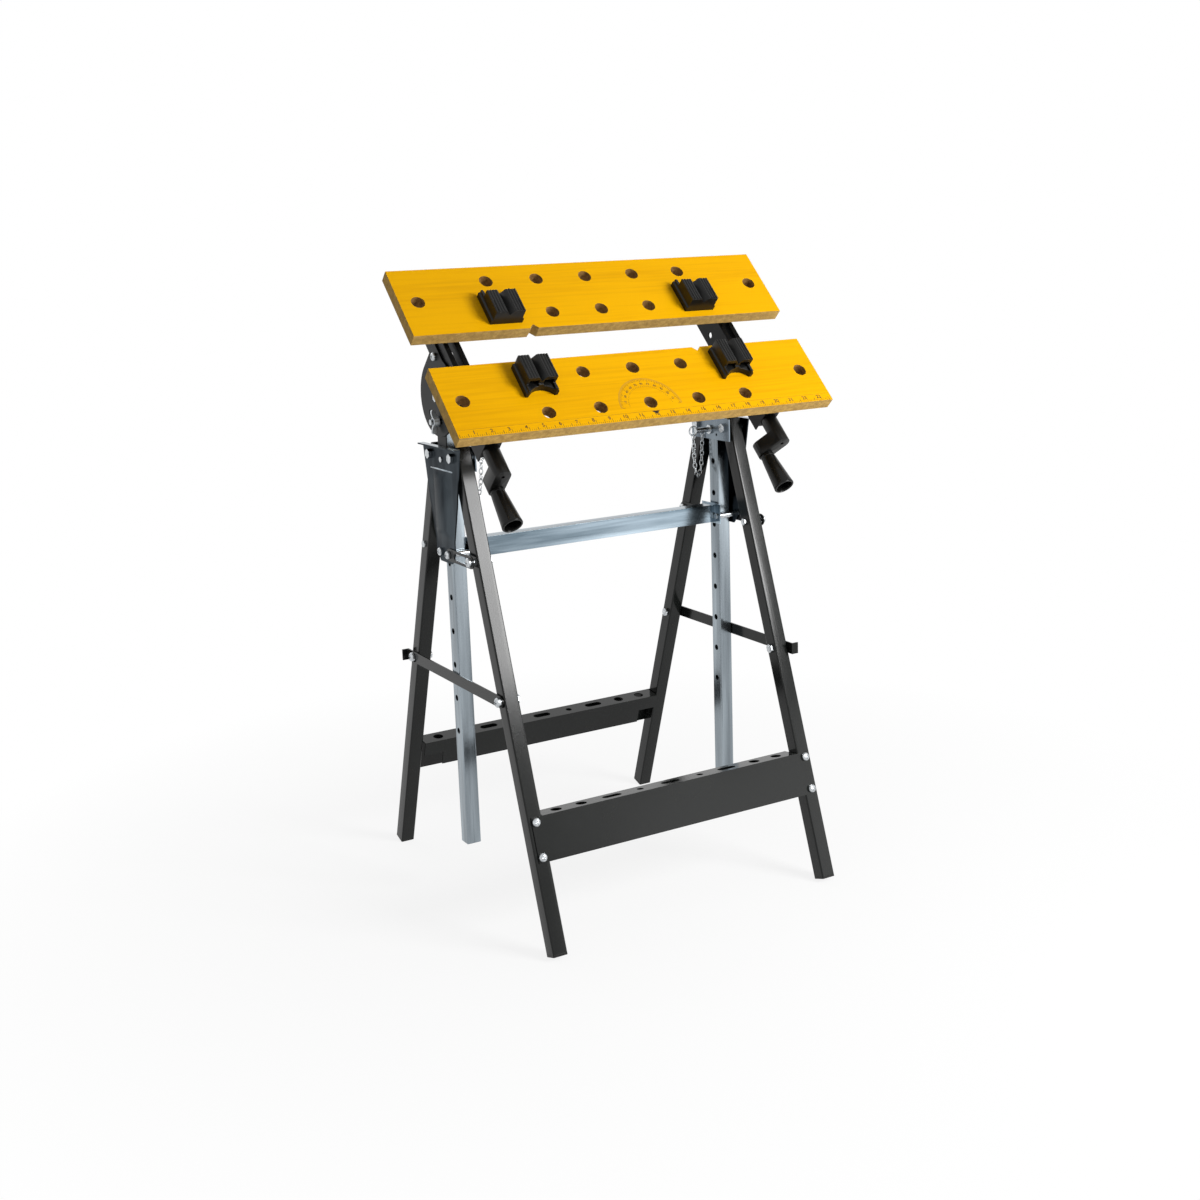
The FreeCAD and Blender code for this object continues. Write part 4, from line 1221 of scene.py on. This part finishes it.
@dataclass
class Fasteners:
    """Bolts, screws and rivets, with domed cross-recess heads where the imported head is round."""

    dresser: Dresser
    nodes: tuple[str, ...] = (
        "head_bolts", "tilt_bolts", "table_fasteners", "jaw_fasteners", "front_leg_fasteners",
        "rear_leg_fasteners",
    )
    eased_mm: float = 0.5
    head_mm: Pair = (4.45, 8.0)
    corners: int = 10
    true_round: float = 0.95
    dome: float = 0.42
    inset: float = 0.97
    recess: float = 0.24
    recess_box: Pair = (1.0, 0.7)
    recess_rise: float = 0.5
    facets: tuple[int, int] = (24, 12)

    def build(self) -> None:
        """Dress the fasteners and dome their heads."""
        tree = self._tree()
        for node in self.nodes:
            self._heads(tree, node)
            self.dresser.eased(node, self.dresser.finishes.bright, self.eased_mm)

    def _tree(self) -> Tree:
        """Geometry tree that sets a domed head with a cross recess on every point.

        Returns:
            The tree.
        """
        tree, entry = new_tree("pan_heads", ("Dome", "Recess"))
        segments, rings = self.facets
        ball = add(tree, "GeometryNodeMeshUVSphere", {"Segments": segments, "Rings": rings, "Radius": 1.0})
        flat = add(tree, "ShaderNodeCombineXYZ", {0: self.inset, 1: self.inset, 2: entry["Dome"]})
        dome = add(tree, "GeometryNodeTransform", {"Geometry": ball, "Scale": flat})
        carved = add(tree, "GeometryNodeMeshBoolean", {0: dome}, operation="DIFFERENCE", solver="EXACT")
        long, deep = self.recess_box
        for across, along in ((long, entry["Recess"]), (entry["Recess"], long)):
            size = add(tree, "ShaderNodeCombineXYZ", {0: across, 1: along, 2: deep})
            arm = add(tree, "GeometryNodeMeshCube", {"Size": size})
            lift = (0.0, 0.0, self.recess_rise)
            raised = add(tree, "GeometryNodeTransform", {"Geometry": arm, "Translation": lift})
            tree.links.new(raised.outputs[0], carved.inputs[1])
        aim, scale = (
            add(tree, "GeometryNodeInputNamedAttribute", {"Name": key}, data_type=kind)
            for key, kind in (("aim", "FLOAT_VECTOR"), ("size", "FLOAT"))
        )
        return close_tree(tree, entry, {
            "Points": entry["Geometry"],
            "Instance": carved,
            "Rotation": add(tree, "FunctionNodeAlignRotationToVector", {"Vector": aim}, axis="Z"),
            "Scale": scale,
        })

    def _heads(self, tree: Tree, node: str) -> None:
        """Find the round heads of a node and dome them.

        Args:
            tree: Tree that sets the heads.
            node: Packed fasteners.
        """
        mesh = self.dresser.copy_mesh(node)
        smallest, largest = (size * MM for size in self.head_mm)
        places, aims, sizes = [], [], []
        for polygon in mesh.polygons:
            if len(polygon.vertices) < self.corners:
                continue
            reach = [(mesh.vertices[v].co - polygon.center).length for v in polygon.vertices]
            size = max(reach)
            if smallest < size < largest and min(reach) > self.true_round * size:
                places.append(polygon.center.copy())
                aims.append(polygon.normal.copy())
                sizes.append(size)
        bpy.data.meshes.remove(mesh)
        LOG.info("%s has %d round heads", node, len(places))
        if not places:
            return
        base = spots(node + "_heads", places, aim=aims, size=sizes)
        obj = grow(node + "_heads", base, tree, {
            "Dome": self.dome,
            "Recess": self.recess,
            "Finish": self.dresser.finishes.bright,
        })
        soften(obj.data, angle_deg=40.0)
        self.dresser.attach(obj, node)


@dataclass
class Creases:
    """Slim beads in the paler tube zinc above the troughs of the outer head plates: a painted highlight
    where the top edge of each trough catches the light.
    """

    dresser: Dresser
    half_mm: float = 36.0
    height_mm: float = 641.5
    rise_mm: float = 1.3
    lip_mm: float = 8.0
    taper: Pair = (0.3, 0.7)
    point_mm: float = 0.05
    facets: int = 20

    def build(self) -> None:
        """Turn one slim spindle on each plate, sunk to its middle in the sheet."""
        half, rise = self.half_mm, self.rise_mm
        back, thin = self.taper
        tip = ((half - rise, rise), (half - back * rise, thin * rise), (half, self.point_mm))
        profile = tip + tuple((-along, radius) for along, radius in reversed(tip))
        for side_name, side in SIDES:
            node = f"head_plate_{side_name}"
            low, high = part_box(node)
            face = max(abs(low[0]), abs(high[0])) - self.lip_mm * MM
            bm = bmesh.new()
            lathe(bm, profile, Matrix.Translation((side * face, 0.0, self.height_mm * MM)), self.facets)
            # The bright zinc bead is a painted highlight along the trough's top edge
            obj = from_bmesh(f"{node}_crease", bm, [self.dresser.finishes.zinc])
            soften(obj.data, angle_deg=50.0)
            self.dresser.attach(obj, node)


@dataclass
class Ironwork:
    """Every other node, dressed by kind with an eased edge."""

    dresser: Dresser
    # Faces of an outer plate that point up further than this get the painted highlight
    up_facing: float = 0.6
    elsewhere: tuple[str, ...] = (
        "front_board", "rear_board", "lead_screw", "pin_chain", "dog_", "crank_", "wing_nut",
    )

    def build(self) -> None:
        """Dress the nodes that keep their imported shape."""
        finish = self.dresser.finishes
        kinds: tuple[tuple[tuple[str, ...], Material, float], ...] = (
            (("leg_", "link_"), finish.paint, 0.35),
            (("jaw_channel", "upright", "board_support", "board_carrier", "quadrant"), finish.enamel, 0.35),
            (("front_tool_rail", "rear_tool_rail", "brace_"), finish.paint, 0.4),
            (("head_plate",), finish.plate, 0.4),
            (("inner_plate",), finish.bracket, 0.4),
            (("post_",), finish.zinc, 0.4),
            (("crossbar",), finish.bar, 0.4),
            (("front_foot_caps", "rear_foot_caps"), finish.plastic, 1.2),
            (("lock_pin", "travel_nut"), finish.bright, 0.5),
        )
        for node in self.dresser.frame["nodes"]:
            if node.startswith(self.elsewhere) or node in Fasteners.nodes:
                continue
            for prefixes, material, width_mm in kinds:
                if node.startswith(prefixes):
                    piece = self.dresser.eased(node, material, width_mm)
                    # Painted highlight: the up-facing faces of each outer plate are shown in the paler tube
                    # zinc
                    if material is finish.plate:
                        self._brighten(piece)
                    break
            else:
                raise KeyError(node)

    def _brighten(self, plate: Object) -> None:
        """Give the up-facing lip and top edges of a plate the paler tube zinc: a painted highlight, the same
        sheet shown lighter where it faces the light above.

        Args:
            plate: Dressed outer head plate.
        """
        plate.data.materials.append(self.dresser.finishes.zinc)
        for polygon in plate.data.polygons:
            if polygon.normal.z > self.up_facing:
                polygon.material_index = 1


@dataclass
class Studio:
    """Camera at the photograph's angle, soft light and a pale floor."""

    place: Triple = (-1.1381, -1.9680, 0.9591)
    yaw_deg: float = -29.301
    pitch_deg: float = -11.831
    roll_deg: float = -2.145
    focal_px: float = 1543.98
    middle_px: Pair = (575.54, 557.59)
    image_px: float = 1200.0
    sensor_mm: float = 36.0
    far_m: float = 50.0
    target: Triple = (0.0, 0.0, 0.5)
    lamps: tuple[tuple[str, Triple, Pair, float], ...] = (
        ("key_lamp", (0.97, -1.76, 1.32), (0.85, 0.75), 44.0),
        ("low_lamp", (1.7, -2.1, 0.3), (1.5, 0.9), 6.0),
        ("side_lamp", (-2.6, -0.6, 1.9), (1.6, 1.6), 2.0),
        ("top_lamp", (0.1, 0.2, 3.0), (2.0, 2.0), 2.5),
        ("back_lamp", (-0.8, 2.8, 2.0), (1.6, 1.6), 6.0),
    )
    ambient: float = 0.3
    floor_m: float = 9.0
    floor_drop_m: float = 0.0005
    floor_tone: float = 0.9
    fade_m: Pair = (0.3, 1.1)
    fade_from: float = 0.84

    def build(self) -> None:
        """Set up the view, the lamps, the world and the floor."""
        self._camera()
        self._lamps()
        self._world()
        self._floor()
        bpy.context.scene.view_settings.view_transform = "Standard"

    def _camera(self) -> None:
        """Aim the camera as fitted to the photograph."""
        data = bpy.data.cameras.new("photo_view")
        data.sensor_width = self.sensor_mm
        data.sensor_fit = "HORIZONTAL"
        data.lens = self.focal_px / self.image_px * self.sensor_mm
        data.shift_x = (self.image_px / 2 - self.middle_px[0]) / self.image_px
        data.shift_y = (self.middle_px[1] - self.image_px / 2) / self.image_px
        data.clip_end = self.far_m
        yaw, pitch, roll = (math.radians(a) for a in (self.yaw_deg, self.pitch_deg, self.roll_deg))
        ahead = Vector((-math.sin(yaw) * math.cos(pitch), math.cos(yaw) * math.cos(pitch), math.sin(pitch)))
        level = Vector((math.cos(yaw), math.sin(yaw), 0.0))
        over = level.cross(ahead)
        right = math.cos(roll) * level + math.sin(roll) * over
        up = -math.sin(roll) * level + math.cos(roll) * over
        turn = Matrix((right, up, -ahead)).transposed().to_4x4()
        camera = linked("photo_view", data)
        camera.matrix_world = Matrix.Translation(self.place) @ turn
        bpy.context.scene.camera = camera

    def _lamps(self) -> None:
        """Hang large soft lamps round the bench."""
        for name, place, (wide, tall), power in self.lamps:
            data = bpy.data.lights.new(name, "AREA")
            data.shape = "RECTANGLE"
            data.size = wide
            data.size_y = tall
            data.energy = power
            lamp = linked(name, data)
            lamp.location = place
            aim = Vector(self.target) - Vector(place)
            lamp.rotation_euler = aim.to_track_quat("-Z", "Y").to_euler()

    def _seen(self, tree: Tree) -> Socket:
        """One where a surface is seen directly, in a reflection or through glass.

        Args:
            tree: Shader tree.

        Returns:
            The value, one or zero.
        """
        path = add(tree, "ShaderNodeLightPath").outputs
        seen = path["Is Camera Ray"]
        for ray in ("Is Glossy Ray", "Is Transmission Ray"):
            seen = add(tree, "ShaderNodeMath", {0: seen, 1: path[ray]}, operation="MAXIMUM").outputs[0]
        return seen

    def _world(self) -> None:
        """White surroundings for the eye and for reflections, softer light on the bench."""
        world = bpy.data.worlds.new("studio")
        bpy.context.scene.world = world
        tree = blank(world)
        power = add(tree, "ShaderNodeMapRange", {
            "Value": self._seen(tree),
            "To Min": self.ambient,
            "To Max": 1.0,
        })
        glow = add(tree, "ShaderNodeBackground", {"Color": (1.0, 1.0, 1.0, 1.0), "Strength": power})
        add(tree, "ShaderNodeOutputWorld", {"Surface": glow})

    def _floor(self) -> None:
        """Lay a large pale floor that keeps a soft shadow near the feet and is white further out."""
        bm = bmesh.new()
        bmesh.ops.create_grid(bm, x_segments=1, y_segments=1, size=self.floor_m)
        material = bpy.data.materials.new("pale_floor")
        tree = blank(material)
        place = add(tree, "ShaderNodeTexCoord").outputs["Object"]
        away = add(tree, "ShaderNodeVectorMath", {0: place}, operation="LENGTH").outputs["Value"]
        fade = add(tree, "ShaderNodeMapRange", {
            "Value": away,
            "From Min": self.fade_m[0],
            "From Max": self.fade_m[1],
            "To Min": self.fade_from,
            "To Max": 1.0,
        })
        white = add(tree, "ShaderNodeMath", {0: fade, 1: self._seen(tree)}, operation="MULTIPLY")
        tone = self.floor_tone
        paper = add(tree, "ShaderNodeBsdfDiffuse", {"Color": (tone, tone, tone, 1.0)})
        glow = add(tree, "ShaderNodeEmission", {"Color": (1.0, 1.0, 1.0, 1.0), "Strength": 1.0})
        mixed = add(tree, "ShaderNodeMixShader", {0: white, 1: paper, 2: glow})
        add(tree, "ShaderNodeOutputMaterial", {"Surface": mixed})
        floor = from_bmesh("pale_floor", bm, [material])
        floor.location.z = -self.floor_drop_m


def main() -> None:
    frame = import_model()
    Studio().build()
    dresser = Dresser(frame, Finishes())
    for assembly in (Boards, Threads, Chains, Dogs, Cranks, WingNuts, Fasteners, Creases, Ironwork):
        assembly(dresser).build()


if __name__ == "__main__":
    main()
